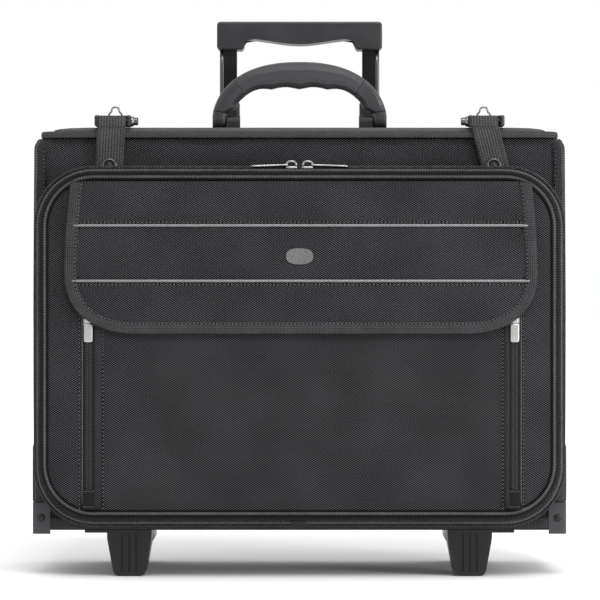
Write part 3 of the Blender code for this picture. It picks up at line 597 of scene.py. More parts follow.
levels = [(0.0, 40.6)] + [(0.0, z) for z in (48, 57, 66.8, 85, 110, 140, 170, 200, 230, 260, 290, 320, 345, 360)]
levels += [(0.0, 369.5), (0.4, 372.2), (1.4, 374.6), (2.9, 376.6), (4.6, 377.9)]
P = []
for d, z in levels:
    row = []
    t = min(max((z - 44) / 330.0, 0.0), 1.0)
    swell = math.sin(math.pi * t) ** 1.2
    for x, y in body_outline(d):
        if abs(x) > HALF - 3:
            depth = math.sin(math.pi * min(max((y - Y0) / (Y1 - Y0), 0), 1)) ** 0.5
            x += math.copysign(1.7 * swell * max(depth, 0.35), x)
        elif y > Y1 - 2:
            y += 0.8 * swell * math.cos(x / 229.0 * math.pi / 2) ** 0.5 * (1 if z > 90 else max(0, (z - 66) / 24))
        row.append((x, y, z))
    P.append(row)
outline0 = body_outline(0)


def notch(j, i):
    a, b = outline0[i], outline0[(i + 1) % len(outline0)]
    mx, my = (a[0] + b[0]) / 2, (a[1] + b[1]) / 2
    return levels[j + 1][1] <= 67 and my > Y1 - 2 and BX[0] - 0.1 < abs(mx) < BX[1] + 0.1


cover = grid("body_cover", P, M_WEAVE, close_u=True, holes=notch)
thick(cover, 0.35)
place(cover, "case")

# corner bindings: a tape folded round each front and rear vertical edge
for side, s in SIDES:
    for tag, ysign in (("front", -1), ("rear", 1)):
        yb = Y0 if ysign < 0 else Y1
        sec = []
        r = 7.4
        cx, cy = s * (HALF - 7.0), yb - ysign * 7.0
        outer = [(s * (HALF - 10.6), yb + ysign * 0.25)]
        for i in range(7):
            a = math.pi / 2 * i / 6
            outer.append((cx + s * r * 0.99 * math.sin(a), cy + ysign * r * 1.04 * math.cos(a)))
        outer.append((s * (HALF + 0.5), yb - ysign * 16.0))
        rows = []
        for z, d in [(z, 0.0) for z in np.linspace(41.5, 368.5, 40)] + [(371.2, 0.15), (373.6, 0.9), (375.6, 2.1), (377.2, 3.6), (378.0, 5.0)]:
            t = (z - 44) / 330.0
            sw = 1.7 * math.sin(math.pi * min(max(t, 0), 1)) ** 1.2 * 0.5
            rows.append([(x + s * (sw * (abs(x) > HALF - 6) - d), y - ysign * d * 0.9, z) for x, y in outer])
        b = grid("edge_binding_%s_%s" % (tag, side), rows, M_WEAVE_LIGHTER)
        recalc(b)
        thick(b, 0.35, 1.0)
        place(b, "case")
        line = [(s * (HALF - 8.2), yb + ysign * 1.0, z) for z in np.linspace(43, 369, 60)]
        place(stitches("edge_stitch_%s_%s" % (tag, side), line, (0, ysign, 0), M_THREAD, 3.4, 2.3, 0.5, 0.3), "case")
        # raised cord inside the binding at the very corner
        cord = tube_along("edge_cord_%s_%s" % (tag, side), [(s * (HALF - 2.3 + 0.7 * math.sin(math.pi * min(max((z - 44) / 330.0, 0), 1)) ** 0.7 - max(z - 369.5, 0) ** 1.6 * 0.12), yb - ysign * (1.3 + max(z - 369.5, 0) ** 1.6 * 0.1), z) for z in np.linspace(41.5, 377.5, 46)], 1.7, M_PIPE, 10)
        place(cord, "case")

# doubled tape over the lower front corners, above the guards
for side, s in SIDES:
    yb, sec = Y0, []
    cx, cy = s * (HALF - 7.0), yb + 7.0
    sec.append((s * (HALF - 7.5), yb - 0.9))
    for i in range(8):
        a = math.pi / 2 * i / 7
        sec.append((cx + s * 8.6 * math.sin(a), cy - 8.6 * math.cos(a)))
    sec.append((s * (HALF + 1.5), yb + 22.0))
    rows = []
    for z, g in ((64.6, 0.9), (66.0, 0.3), (80.0, 0.1), (111.0, 0.3), (113.4, 1.1)):
        rows.append([(x - s * g * 0.5, y, z) for x, y in sec])
    patch = grid("corner_patch_" + side, rows, M_BIND)
    recalc(patch)
    thick(patch, 0.6, 1.0)
    place(patch, "case")

# stitched webbing across the back, above the wheels, and a seam up each side of it
rows = []
for z, g in ((92.0, 0.1), (92.6, 0.9), (104.0, 1.1), (115.4, 0.9), (116.0, 0.1)):
    rows.append([(x, Y1 + 0.5 + 0.8 * math.sin(math.pi * min((z - 44) / 330.0, 1)) ** 1.2 * math.cos(x / 229.0 * math.pi / 2) ** 0.5 + g * 0.5, z) for x in np.linspace(-220, 220, 60)])
belt = recalc(grid("rear_webbing", rows, M_WEB))
thick(belt, 0.6, 1.0)
place(belt, "case")
for zz in (94.6, 113.4):
    run = [(x, Y1 + 1.75 + 0.8 * math.sin(math.pi * (zz - 44) / 330.0) ** 1.2 * math.cos(x / 229.0 * math.pi / 2) ** 0.5, zz) for x in np.linspace(-219, 219, 60)]
    place(stitches("rear_webbing_stitch_%d" % int(zz), run, (0, 1, 0), M_THREAD, 3.4, 2.2, 0.55, 0.3), "case")

# hem round the top edge of the body
hem_rows = []
for d, z in ((1.35, 375.6), (2.0, 376.9), (3.2, 377.9), (4.8, 378.25), (6.0, 378.2)):
    hem_rows.append([(x, y, z) for x, y in body_outline(d)])
hem = grid("top_hem", hem_rows, M_BIND, close_u=True)
recalc(hem)
thick(hem, 0.25)
place(hem, "case")

# base binding round the bottom edge, front and sides
base_rows = []
for d, z in ((-0.9, 41.0), (-1.4, 44.0), (-1.4, 49.0), (-0.7, 51.5)):
    base_rows.append([(x, y, z) for x, y in body_outline(d)])
base_levels = [41.0, 44.0, 49.0, 51.5]
base_b = grid("base_binding", base_rows, M_BIND, close_u=True,
              holes=lambda j, i: (outline0[i][1] + outline0[(i + 1) % len(outline0)][1]) / 2 > Y1 - 2 and BX[0] - 0.1 < abs((outline0[i][0] + outline0[(i + 1) % len(outline0)][0]) / 2) < BX[1] + 0.1)
recalc(base_b)
thick(base_b, 0.5)
place(base_b, "case")

# ------------------------------------------------------------------ pocket, rear half on the body
def pocket_path(hw, z0, z1, r):
    return rr_path(-hw, hw, z0, z1, r, 7.0, 12, (50, 30))


rows = []
for hw, z0, z1, r, y in ((224.8, 46.6, 347.4, 47.8, -57.0), (225.6, 46.0, 349.0, 48.2, -60.5), (226.6, 45.6, 350.9, 48.7, -65.0), (227.3, 45.2, 353.0, 49.3, -69.8), (227.6, 45.0, 353.4, 49.5, -73.2), (226.8, 45.7, 352.7, 49.0, -74.4), (224.0, 48.5, 349.9, 46.4, -74.8)):
    p, n = pocket_path(hw, z0, z1, r)
    rows.append(ring_at(p, n, y))
g = grid("pocket_gusset_fabric", rows, M_WEAVE_LIGHTER, close_u=True)
recalc(g)
thick(g, 1.2)
place(g, "case", ("pocket_gusset",))

p, n = pocket_path(227.4, 45.2, 353.2, 49.3)
place(sweep_xz("pocket_tape_edge", p, n, circle_section(0.0, -73.6, 0.75, 8), M_PIPE), "case")
seam_p, seam_n = pocket_path(226.4, 45.0, 350.4, 49.0)

# zip tape and coil, all the way round
rows = []
for d, y in ((-1.3, -74.6), (-1.9, -76.0), (-1.3, -77.6)):
    rows.append(ring_at(p, n, y, d))
tape = grid("pocket_zip_tape", rows, M_TAPE, close_u=True)
recalc(tape)
thick(tape, 0.5)
place(tape, "case", ("pocket_zip",))


def coil_ring(name, path, normals, d, y, amp, pitch, mat, width=1.5):
    seg = np.linalg.norm(np.diff(np.concatenate([path, path[:1]]), axis=0), axis=1)
    total = seg.sum()
    count = int(total / pitch)
    cum = np.concatenate([[0], np.cumsum(seg)])
    P, N = np.concatenate([path, path[:1]]), np.concatenate([normals, normals[:1]])
    verts, faces = [], []
    for k in range(count):
        s = (k + 0.5) * total / count
        i = min(max(int(np.searchsorted(cum, s)) - 1, 0), len(seg) - 1)
        t = (s - cum[i]) / max(seg[i], 1e-9)
        c = P[i] * (1 - t) + P[i + 1] * t
        nn = N[i] * (1 - t) + N[i + 1] * t
        nn /= np.linalg.norm(nn)
        tt = np.array([-nn[1], nn[0]])
        base = len(verts)
        hw = pitch * 0.34
        for yy, h in ((-width, 0.1), (-width * 0.55, 1.0), (width * 0.55, 1.0), (width, 0.1)):
            for q in (-hw, 0, hw):
                out = d + amp * h * (1.0 if q == 0 else 0.55)
                pt = c + nn * out + tt * q
                verts.append((pt[0], y + yy, pt[1]))
        for a in range(3):
            for b in range(2):
                q = base + a * 3 + b
                faces.append((q, q + 1, q + 4, q + 3))
    return recalc(mesh_obj(name, verts, faces, mat))


place(coil_ring("pocket_zip_coil", p, n, -1.6, -76.0, 1.1, 2.2, M_COIL), "case")

# ------------------------------------------------------------------ pocket, front half
FRONT = -93.9
rows = []
for hw, z0, z1, r, y in ((224.6, 48.0, 350.4, 47.6, -78.3), (223.2, 49.4, 349.0, 46.6, -80.4), (221.0, 52.4, 346.6, 44.8, -84.5), (218.6, 55.4, 344.8, 42.8, -89.0), (217.0, 57.2, 343.4, 41.6, -92.0), (215.4, 58.8, 341.8, 40.2, -93.4)):
    p, n = pocket_path(hw, z0, z1, r)
    rows.append(ring_at(p, n, y))
for d, y in ((3.0, -94.1), (7.0, -94.7), (13.0, -95.15), (21.0, -95.45), (31.0, -95.55), (42.0, -95.6), (55.0, -95.6), (70.0, -95.6), (86.0, -95.6), (104.0, -95.6), (122.0, -95.6), (137.0, -95.6)):
    p, n = pocket_path(215.4 - d, 58.8 + d, 341.8 - d, max(40.2 - d, 1.5))
    ring = ring_at(p, n, y)
    for q in ring:
        k = min(d / 14.0, 1.0)
        k *= 1.0 - math.exp(-((abs(q[0]) - 181.0) / 13.0) ** 2)
        q[1] += k * 0.32 * (math.sin(q[0] * 0.021 + 1.3) * math.sin(q[2] * 0.034 + 0.4) + 0.6 * math.sin(q[0] * 0.047 - q[2] * 0.029))
    rows.append(ring)
P = np.array(rows)
outer = len(rows)
# inner skin of the tray, so that the open pocket has a lining
for hw, z0, z1, r, y in ((213.0, 61.2, 339.4, 38.2, -91.6), (219.6, 53.4, 345.4, 43.2, -84.0), (223.0, 49.6, 348.8, 46.0, -78.3)):
    p, n = pocket_path(hw, z0, z1, r)
    rows.append(ring_at(p, n, y))


def tray(name, rows, outer, mat):
    rows = np.array(rows)
    nv, nu = rows.shape[:2]
    verts = rows.reshape(-1, 3).tolist()
    faces = []
    pairs = [(j, j + 1) for j in range(outer - 1)] + [(j, j + 1) for j in range(outer, nv - 1)] + [(nv - 1, 0)]
    for a, b in pairs:
        for i in range(nu):
            k = (i + 1) % nu
            faces.append((a * nu + i, a * nu + k, b * nu + k, b * nu + i))
    faces.append([(outer - 1) * nu + i for i in range(nu)])
    faces.append([outer * nu + i for i in range(nu)])
    return recalc(mesh_obj(name, verts, faces, mat))


pan = tray("pocket_front_fabric", rows, outer, M_WEAVE)
pan.data.materials.append(M_LINING)
for poly in pan.data.polygons:
    if poly.normal.y > 0.5 and poly.center.y * 1000 > -93:
        poly.material_index = 1
place(pan, "pocket", ("pocket_pan",))

p, n = pocket_path(223.1, 49.4, 348.9, 46.7)
place(sweep_xz("piping_rear", p, n, circle_section(0.2, -81.2, 1.95, 14), M_PIPE), "pocket")
p, n = pocket_path(217.2, 56.9, 343.9, 42.0)
place(sweep_xz("piping_front", p, n, circle_section(-0.3, -93.1, 1.6, 14), M_PIPE), "pocket")
# painted shade: near-black sheets in the grooves either side of the front piping
place(recalc(sweep_xz("piping_groove_painted_shade_outer", p, n, [(1.5, -92.4), (2.4, -91.4), (3.4, -88.6), (4.2, -85.6), (3.2, -85.6), (1.5, -90.8)], M_SEAM_SHADOW)), "pocket")
place(recalc(sweep_xz("piping_groove_painted_shade_inner", p, n, [(-1.6, -93.6), (-1.9, -94.5), (-2.5, -94.7), (-3.3, -94.5), (-2.7, -93.4)], M_SEAM_SHADOW)), "pocket")
# joint in the rear piping at the bottom
place(recalc(grid("piping_joint", [[(x, -81.2 + 2.35 * math.cos(a), 49.0 + 2.35 * math.sin(a)) for a in np.linspace(0, 2 * math.pi, 13)[:-1]] for x in np.linspace(-6.5, 6.0, 5)], M_BIND, close_u=True, caps=True)), "pocket")

# side zips: tape, coil, welts, stitches, end tabs
ZIP_AT = {"left": (179.3, 184.9, 187.1, 174.8, 1.0, 167.1), "right": (182.8, 188.3, 190.3, 178.7, 0.72, 172.9)}
for side, s in SIDES:
    z_coil, z_welt, z_wst, z_fold, z_fk, z_fst = ZIP_AT[side]
    zx = s * z_coil
    ya = -95.3
    z_lo, z_hi = 77.0, 330.0
    zs = np.linspace(z_lo, z_hi, 60)
    t = grid("side_zip_tape_" + side, [[(zx + dx, ya - 0.25 - (0.25 if abs(dx) < 4 else 0.0), z) for dx in np.linspace(-6.4, 6.4, 9)] for z in zs], M_TAPE)
    recalc(t)
    thick(t, 0.5, 1.0)
    place(t, "pocket")
    verts, faces = [], []
    pitch = 1.75
    for k in range(int((z_hi - z_lo) / pitch)):
        z = z_lo + (k + 0.5) * pitch
        for sg in (-1, 1):
            zz = z + (pitch * 0.5 if sg > 0 else 0)
            base = len(verts)
            for dx, h in ((0.1, 0.75), (0.9, 1.15), (2.1, 1.15), (3.1, 0.3)):
                for q, f in ((-0.55, 0.5), (0.0, 1.0), (0.55, 0.5)):
                    verts.append((zx + sg * dx, ya - 0.5 - h * f, zz + q))
            for a in range(3):
                for b in range(2):
                    q = base + a * 3 + b
                    faces.append((q, q + 1, q + 4, q + 3))
    place(recalc(mesh_obj("side_zip_coil_" + side, verts, faces, M_COIL)), "pocket")
    # outer welt with stitches, inner fold
    wx = s * z_welt
    place(tube_along("side_welt_" + side, [(wx, ya - 0.1, z) for z in np.linspace(66, 331, 30)], 0.95, M_PIPE, 10), "pocket")
    place(stitches("side_welt_stitch_" + side, [(s * z_wst, ya - 0.3, z) for z in np.linspace(60, 331, 30)], (0, -1, 0), M_THREAD, 3.4, 2.0), "pocket")
    fold = grid("side_fold_" + side, [[(s * (z_fold - x * z_fk), ya + y, z) for x, y in ((0.0, 0.2), (0.4, -1.1), (1.8, -1.6), (3.8, -1.5), (5.6, -0.9), (6.4, 0.2))] for z in np.linspace(62, 331, 40)], M_WEAVE, close_u=True, caps=True)
    recalc(fold)
    place(fold, "pocket")
    place(stitches("side_fold_stitch_" + side, [(s * z_fst, ya - 0.4, z) for z in np.linspace(60, 331, 40)], (0, -1, 0), M_THREAD, 3.4, 2.0, 0.7, 0.45, hole=1.1), "pocket")
    # bottom tab that covers the end of the zip
    tab = grid("side_zip_tab_" + side, [[(zx + dx, ya - 0.2 - h, z) for dx, h in ((-5.4, 0.0), (-4.8, 0.45), (0.0, 0.6), (4.8, 0.45), (5.4, 0.0))] for z in (60.5, 61.5, 70.0, 77.5, 78.4)], M_TAPE)
    recalc(tab)
    thick(tab, 0.5, 1.0)
    place(tab, "pocket")
    for zz in (76.0, 63.0):
        place(stitches("side_zip_bar_%s_%d" % (side, int(zz)), [(zx - 4.6, ya - 1.25, zz), (zx + 4.6, ya - 1.25, zz)], (0, -1, 0), M_THREAD, 1.2, 1.0, 0.5, 0.35, hole=0), "pocket")

# ------------------------------------------------------------------ flap
OFF = 1.2


def flap_edge(step=5.0):
    """Right-hand half of the flap's edge from the top down to the middle of the bottom."""
    pts = [(195.6, 339.6)]
    for z in np.arange(334, 262, -step):
        t = (339.6 - z) / 78.0
        pts.append((195.6 + 5.3 * math.sin(t * math.pi / 2), z))
    for i in range(0, 15):
        a = math.pi / 2 * i / 14
        pts.append((140.0 + 60.9 * math.cos(a) ** 0.91, 260.0 - 50.0 * math.sin(a) ** 0.91))
    for x in np.arange(130, -1, -10.0):
        pts.append((x, 210.0 - 0.0 * x))
    return pts


right = flap_edge()
edge = np.array([(x + OFF, z) for x, z in right] + [(-x + OFF, z) for x, z in reversed(right[:-1])])
tang = np.gradient(edge, axis=0)
tang /= np.linalg.norm(tang, axis=1)[:, None]
enorm = np.column_stack([-tang[:, 1] * -1, tang[:, 0] * -1])
# outward normals point away from the middle of the flap
centre = np.array([OFF, 290.0])
flipn = ((edge - centre) * enorm).sum(1) < 0
enorm[flipn] *= -1

FY = -97.7  # back of the flap


def flap_y(x, z):
    """Front surface of the flap: three soft bands between the two pipings."""
    bands = ((340.0, 302.2), (302.2, 255.1), (255.1, 210.0))
    y = 0.0
    for hi, lo in bands:
        if lo <= z <= hi:
            t = (z - lo) / (hi - lo)
            y = 1.5 * math.sin(math.pi * t) ** 0.6
    side = min(1.0, (201 - abs(x - OFF)) / 26.0)
    return FY - 1.5 - y * max(side, 0.0) ** 0.5


bm_rows = []
import bmesh

bm = bmesh.new()
xs = np.linspace(-200, 200, 101)
zs = np.linspace(211, 339.6, 66)


def half_width(z):
    """Half width of the flap at one height."""
    pts = right
    for (xa, za), (xb, zb) in zip(pts, pts[1:]):
        if za >= z >= zb and za > zb:
            return xa + (xb - xa) * (za - z) / (za - zb)
    return pts[0][0] if z > 300 else 128.0


front_rows, back_rows = [], []
for z in zs:
    w = half_width(z) - 0.6
    front_rows.append([(OFF + w * u, flap_y(OFF + w * u, z), z) for u in np.linspace(-1, 1, 91)])
    back_rows.append([(OFF + w * u, FY, z) for u in np.linspace(-1, 1, 91)])


def slab(name, A, B, mat):
    """Closed sheet from a front grid and a back grid of the same shape."""
    A, B = np.array(A), np.array(B)
    nv, nu = A.shape[:2]
    verts = np.concatenate([A.reshape(-1, 3), B.reshape(-1, 3)]).tolist()
    k0 = nv * nu
    faces = []
    for j in range(nv - 1):
        for i in range(nu - 1):
            q = [j * nu + i, j * nu + i + 1, (j + 1) * nu + i + 1, (j + 1) * nu + i]
            faces.append(q)
            faces.append([k0 + c for c in reversed(q)])
    rim = [i for i in range(nu)] + [j * nu + nu - 1 for j in range(1, nv)] + [(nv - 1) * nu + i for i in range(nu - 2, -1, -1)] + [j * nu for j in range(nv - 2, 0, -1)]
    for a, b in zip(rim, rim[1:] + rim[:1]):
        faces.append((b, a, k0 + a, k0 + b))
    return recalc(mesh_obj(name, verts, faces, mat))


flap = slab("flap_fabric", front_rows, back_rows, M_WEAVE)
place(flap, "flap", ("pocket_flap",))

sec = [(0.5, FY + 0.3), (-0.2, FY - 0.6), (-0.35, FY - 1.9), (-0.1, FY - 3.1), (-1.2, FY - 3.55), (-5.0, FY - 3.6), (-9.0, FY - 3.25), (-10.4, FY - 2.5), (-10.6, FY - 1.2), (-9.0, FY + 0.5), (-4.0, FY + 0.6)]
binding = sweep_xz("flap_binding", edge, enorm, sec, M_BIND, closed=False, caps=True)
recalc(binding)
place(binding, "flap")
# painted shade: a near-black strip along the inner edge of the binding, where its step casts shade on the flap
binding_shade = sweep_xz("flap_binding_painted_shade", edge, enorm, [(-10.2, FY - 1.2), (-10.3, FY - 1.85), (-11.6, FY - 1.95), (-12.4, FY - 1.75), (-12.6, FY - 1.2)], M_SEAM_SHADOW, closed=False, caps=True)
recalc(binding_shade)
place(binding_shade, "flap")
line = np.column_stack([edge[:, 0] - enorm[:, 0] * 8.7, np.full(len(edge), FY - 3.4), edge[:, 1] - enorm[:, 1] * 8.7])
place(stitches("flap_binding_stitch", line, (0, -1, 0), M_THREAD, 3.3, 2.3, 0.5, 0.3), "flap")
for tag, z, st in (("upper", 302.2, 304.9), ("lower", 255.1, 251.9)):
    w = half_width(z) - 6.2
    xs_line = np.linspace(OFF - w, OFF + w, 60)
    place(tube_along("flap_piping_" + tag, [(x, FY - 2.35, z) for x in xs_line], 1.25, M_GLOSS_PIPE_PAINTED, 12), "flap")
    w -= 4
    place(stitches("flap_stitch_" + tag, [(x, flap_y(x, st) - 0.05, st) for x in np.linspace(OFF - w, OFF + w, 60)], (0, -1, 0), M_THREAD_PALE, 3.5, 2.3, 0.55, 0.3), "flap")

# ------------------------------------------------------------------ lid
rows = []
for ins, z in ((0.0, 383.7), (-0.3, 384.8), (0.2, 386.0), (1.6, 387.0), (4.5, 387.8), (9.0, 388.3), (16.0, 388.55)):
    x_ins = ins * (1.0 if ins < 1 else 2.2)
    pts, _ = rr_path(-213 + x_ins, 213 - x_ins, -57.6 + ins, 55.0 - ins, (14, 14, 8, 8), 10.0, 6, (40, 10))
    rows.append(np.column_stack([pts[:, 0], pts[:, 1], np.full(len(pts), z)]))
lid_pad = grid("lid_pad_fabric", rows, M_PAD_LIGHTER, close_u=True, caps=True, uv_box=True)
recalc(lid_pad)
place(lid_pad, "lid", ("lid_pad",))

pts, nrm = rr_path(-222.9, 222.9, -60.0, 57.2, (12, 12, 2, 2), 8.0, 8)
sec = [(-3.0, 378.75), (0.3, 378.8), (0.9, 379.6), (1.0, 381.4), (0.8, 383.2), (-0.2, 384.3), (-3.0, 384.6), (-9.0, 384.3), (-9.0, 383.75), (-2.5, 383.8), (0.1, 383.2), (0.2, 379.3), (-3.0, 378.95)]
P = [[(px + nx * d, py + ny * d, z) for d, z in sec] for (px, py), (nx, ny) in zip(pts, nrm)]
lid_b = grid("lid_binding", P, M_LIDBIND, close_u=True, close_v=True)
recalc(lid_b)
place(lid_b, "lid")

# hinge tape from the rear strip to the lid
rows = []
for y, z in ((50.0, 388.75), (55.0, 388.9), (57.0, 388.6), (58.0, 388.35), (59.0, 388.6), (61.0, 388.9), (67.0, 388.75)):
    rows.append([(x, y, z) for x in np.linspace(-212, 212, 41)])
hinge_tape = grid("lid_hinge_tape", rows, M_BIND)
recalc(hinge_tape)
thick(hinge_tape, 0.5, 1.0)
bpy.context.view_layer.update()
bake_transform(hinge_tape)

# ------------------------------------------------------------------ straps
TOPX = {"left": -162.0, "right": 158.8}
LOWX = {"left": -164.2, "right": 168.4}
for side, s in SIDES:
    prof = []
    outer_r, inner_r = 4.5, 2.1
    PY, PZ = -59.6, 393.6
    for i in range(21):
        a = math.radians(-58 + 238 * i / 20)
        prof.append(((PY + outer_r * math.cos(a), PZ + outer_r * math.sin(a)), (PY + inner_r * math.cos(a), PZ + inner_r * math.sin(a))))
    yo = PY - outer_r
    for d, z in ((0.0, 391.5), (0.1, 388.9), (0.3, 388.2), (0.9, 387.6), (0.7, 385.0), (0.6, 380.0), (0.9, 376.0), (1.4, 371.5), (2.1, 366.5), (2.6, 362.0), (2.8, 358.0), (2.8, 353.5), (2.8, 350.8)):
        prof.append(((yo + d, z), (yo + 1.8 + d + (0.5 if z > 388 else 0), z)))
    rows = []
    for (ay, az), (by, bz) in prof:
        drop = min(max((392.0 - az) / (392.0 - 355.0), 0.0), 1.1)
        cx = TOPX[side] * (1 - drop) + LOWX[side] * drop
        if az > 388.4:
            cx = TOPX[side] + (az - 392.0) * 0.0
        wdt = 12.0
        ring = []
        for k in range(9):
            u = -1 + 2 * k / 8
            ring.append((cx + u * wdt, ay + (0.25 if abs(u) == 1 else 0.0), az))
        for k in range(9):
            u = 1 - 2 * k / 8
            ring.append((cx + u * wdt, by - (0.25 if abs(u) == 1 else 0.0), bz))
        rows.append(ring)
    st = grid("strap_webbing_" + side, rows, M_WEB, close_u=True, caps=True)
    recalc(st)
    place(st, "strap_" + side, ("strap_" + side,))
    cx = TOPX[side]
    zig = [(cx - 10.8 + k * 1.2, yo - 0.12, 391.2 + (1.2 if k % 2 else -1.2)) for k in range(19)]
    place(tube_along("strap_zigzag_" + side, zig, 0.3, M_THREAD_PALE, 6), "strap_" + side)
    for tag, u in (("a", -9.9), ("b", 9.9)):
        run = [(TOPX[side] + (LOWX[side] - TOPX[side]) * min(max((392.0 - z) / 37.0, 0.0), 1.1) + u, yo + d - 0.05, z) for d, z in ((0.9, 387.2), (0.6, 380.0), (0.9, 376.0), (1.4, 371.5), (2.1, 366.5), (2.6, 362.0), (2.8, 358.0), (2.8, 352.0))]
        place(stitches("strap_edge_stitch_%s_%s" % (tag, side), run, (0, -1, 0), M_THREAD, 2.6, 1.7, 0.5, 0.3, hole=0.5), "strap_" + side)
    rx, ry, rz = TOPX[side] + (LOWX[side] - TOPX[side]) * (392.0 - 354.6) / 37.0 * 0.9, yo + 2.8, 354.6
    ring = lathe("snap_ring_" + side, [(4.0, -0.3), (4.3, -1.3), (4.9, -1.8), (5.8, -1.9), (6.5, -1.5), (6.8, -0.3)], (rx, ry, rz), "y", M_GUN, 40, closed=True)
    recalc(ring)
    place(ring, "strap_" + side, ("snap_" + side,))
    place(recalc(lathe("snap_cup_" + side, [(4.1, -0.2), (4.1, -0.9), (3.0, -0.7), (2.1, -0.6), (1.7, -1.3), (0.6, -1.5), (0.05, -1.5)], (rx, ry, rz), "y", M_BLACK, 28)), "strap_" + side)

# hasps as bent wire, feet splayed on the lock
for side, s in SIDES:
    hx = s * 159.4
    half = [(5.6, 398.2), (5.5, 399.4), (4.9, 400.4), (3.9, 401.3), (3.3, 402.3), (3.1, 403.4)]
    pts = [(hx - a, -52.2, z) for a, z in half]
    pts += [(hx + 3.1 * math.cos(t), -52.2, 403.4 + 2.5 * math.sin(t)) for t in np.linspace(math.pi * 0.9, math.pi * 0.1, 9)]
    pts += [(hx + a, -52.2, z) for a, z in reversed(half)]
    place(tube_along("hasp_wire_" + side, pts, 0.8, M_PEWTER, 10), "lid", ("hasp_" + side,))
    # collar where the button leaves the lock
    bx = s * 143.9
    place(recalc(lathe("lock_collar_" + side, [(3.5, -1.6), (4.3, -1.4), (4.5, 0.0), (4.3, 1.4), (3.5, 1.6)], (bx + s * 1.2, -49.6, 393.6), "x", M_PEWTER, 28, closed=True)), "lid")

# painted highlight: a paler metal strip on the outer edge of the top tubes, standing in for light off their rounded
# corner
for side, s in SIDES:
    (ax, ay, az), (bx_, by_, bz_) = [[c * 1000 for c in v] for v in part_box("top_tube_" + side)]
    xo = ax if s < 0 else bx_
    rows = []
    for z in np.linspace(az + 2, 467.0, 24):
        rows.append([(xo - s * u, ay - g, z) for u, g in ((0.15, -2.6), (0.05, -1.2), (0.35, -0.35), (1.2, 0.08), (2.6, 0.1), (3.4, -0.05))])
    highlight_strip = recalc(grid("tube_edge_" + side, rows, M_TUBE_PAINTED_HIGHLIGHT))
    thick(highlight_strip, 0.12, 1.0)
    place(highlight_strip, "trolley_top")

# seams moulded into the carry handle's arms, drawn as thin near-black rings that paint the shade in the seam groove
for side, s in SIDES:
    ring = []
    for i in range(28):
        a = 2 * math.pi * i / 28
        c, t = math.cos(a), math.sin(a)
        c = math.copysign(abs(c) ** 0.72, c)
        t = math.copysign(abs(t) ** 0.72, t)
        ring.append((s * (69.75 + 6.5 * c), 0.0 + 6.95 * t, 404.9 + 1.2 * c * 0.9))
    place(tube_along("arm_seam_painted_shade_" + side, ring, 0.32, M_SEAM_SHADOW, 6, closed=True), "carry_handle")

# zip sliders and pulls along the pocket's top edge
for side, s in SIDES:
    xc = s * 6.8
    body = []
    for z, ins in ((350.9, 0.9), (351.2, 0.2), (352.0, 0.0), (352.9, 0.0), (353.3, 0.5), (353.5, 1.4)):
        pts, _ = rr_path(xc - 5.2 + ins, xc + 5.2 - ins, -80.0 + ins, -71.6 - ins, 2.4, 3.0, 5, (4, 3))
        body.append(np.column_stack([pts[:, 0], pts[:, 1], np.full(len(pts), z)]))
    sl = recalc(grid("top_slider_shell_" + side, body, M_CHROME, close_u=True, caps=True, uv_box=True))
    place(sl, "top_slider_" + side, ("top_slider_" + side,))
    arch = [(xc - s * 3.9, -75.6, 353.0), (xc - s * 3.8, -75.6, 355.6), (xc - s * 2.8, -75.6, 357.2), (xc - s * 1.0, -75.6, 357.8), (xc + s * 1.4, -75.6, 357.8), (xc + s * 3.3, -75.6, 357.2), (xc + s * 4.2, -75.6, 355.9), (xc + s * 4.3, -75.6, 353.0)]
    place(tube_along("top_slider_bridge_" + side, arch, 0.95, M_CHROME, 12), "top_slider_" + side)
    P = []
    for u, w, h in ((9.8, 1.2, 0.5), (10.2, 2.2, 0.85), (11.8, 2.8, 1.0), (15.0, 2.2, 1.0), (20.0, 2.3, 1.1), (30.0, 2.9, 1.1), (37.5, 3.5, 1.15), (39.8, 3.4, 1.35), (41.2, 2.6, 1.1), (41.6, 1.6, 0.6)):
        ring = []
        for i in range(14):
            a = 2 * math.pi * i / 14
            c, t = math.cos(a), math.sin(a)
            ring.append((s * u, -75.6 + w * math.copysign(abs(c) ** 0.6, c), 354.6 - 0.036 * (u - 10.0) + h * math.copysign(abs(t) ** 0.7, t)))
        P.append(ring)
    place(recalc(grid("top_pull_bar_" + side, P, M_CHROME, close_u=True, caps=True)), "top_pull_" + side, ("top_pull_" + side,))

# side zip pulls: raised rim and a bridge on the slider
for side, s in SIDES:
    zx = -179.6 if s < 0 else 183.0
    face = []
    for ins, y in ((0.5, -97.12), (0.0, -97.3), (0.0, -97.85), (0.3, -98.1), (0.9, -98.26), (1.9, -98.34)):
        pts, _ = rr_path(zx - 3.65 + ins, zx + 3.65 - ins, 203.0 + ins, 218.8 - ins, max(1.5 - ins * 0.4, 0.35), 2.0, 5, (3, 4))
        face.append([(x, y, z) for x, z in pts[:, :2]])
    place(recalc(grid("side_pull_face_" + side, face, M_PULL, close_u=True, caps=True)), "side_pull_" + side, ("side_pull_" + side,))
    cap = []
    for ins, y in ((0.0, -96.3), (0.0, -97.0), (0.25, -97.55), (0.8, -97.85), (1.6, -97.95)):
        pts, _ = rr_path(zx - 3.3 + ins, zx + 3.3 - ins, 219.2 + ins * 0.3, 225.2 - ins, max(1.2 - ins * 0.4, 0.35), 2.0, 5, (3, 3))
        cap.append([(x, y, z) for x, z in pts[:, :2]])
    place(recalc(grid("side_slider_bridge_" + side, cap, M_PULL, close_u=True, caps=True)), "side_slider_" + side)

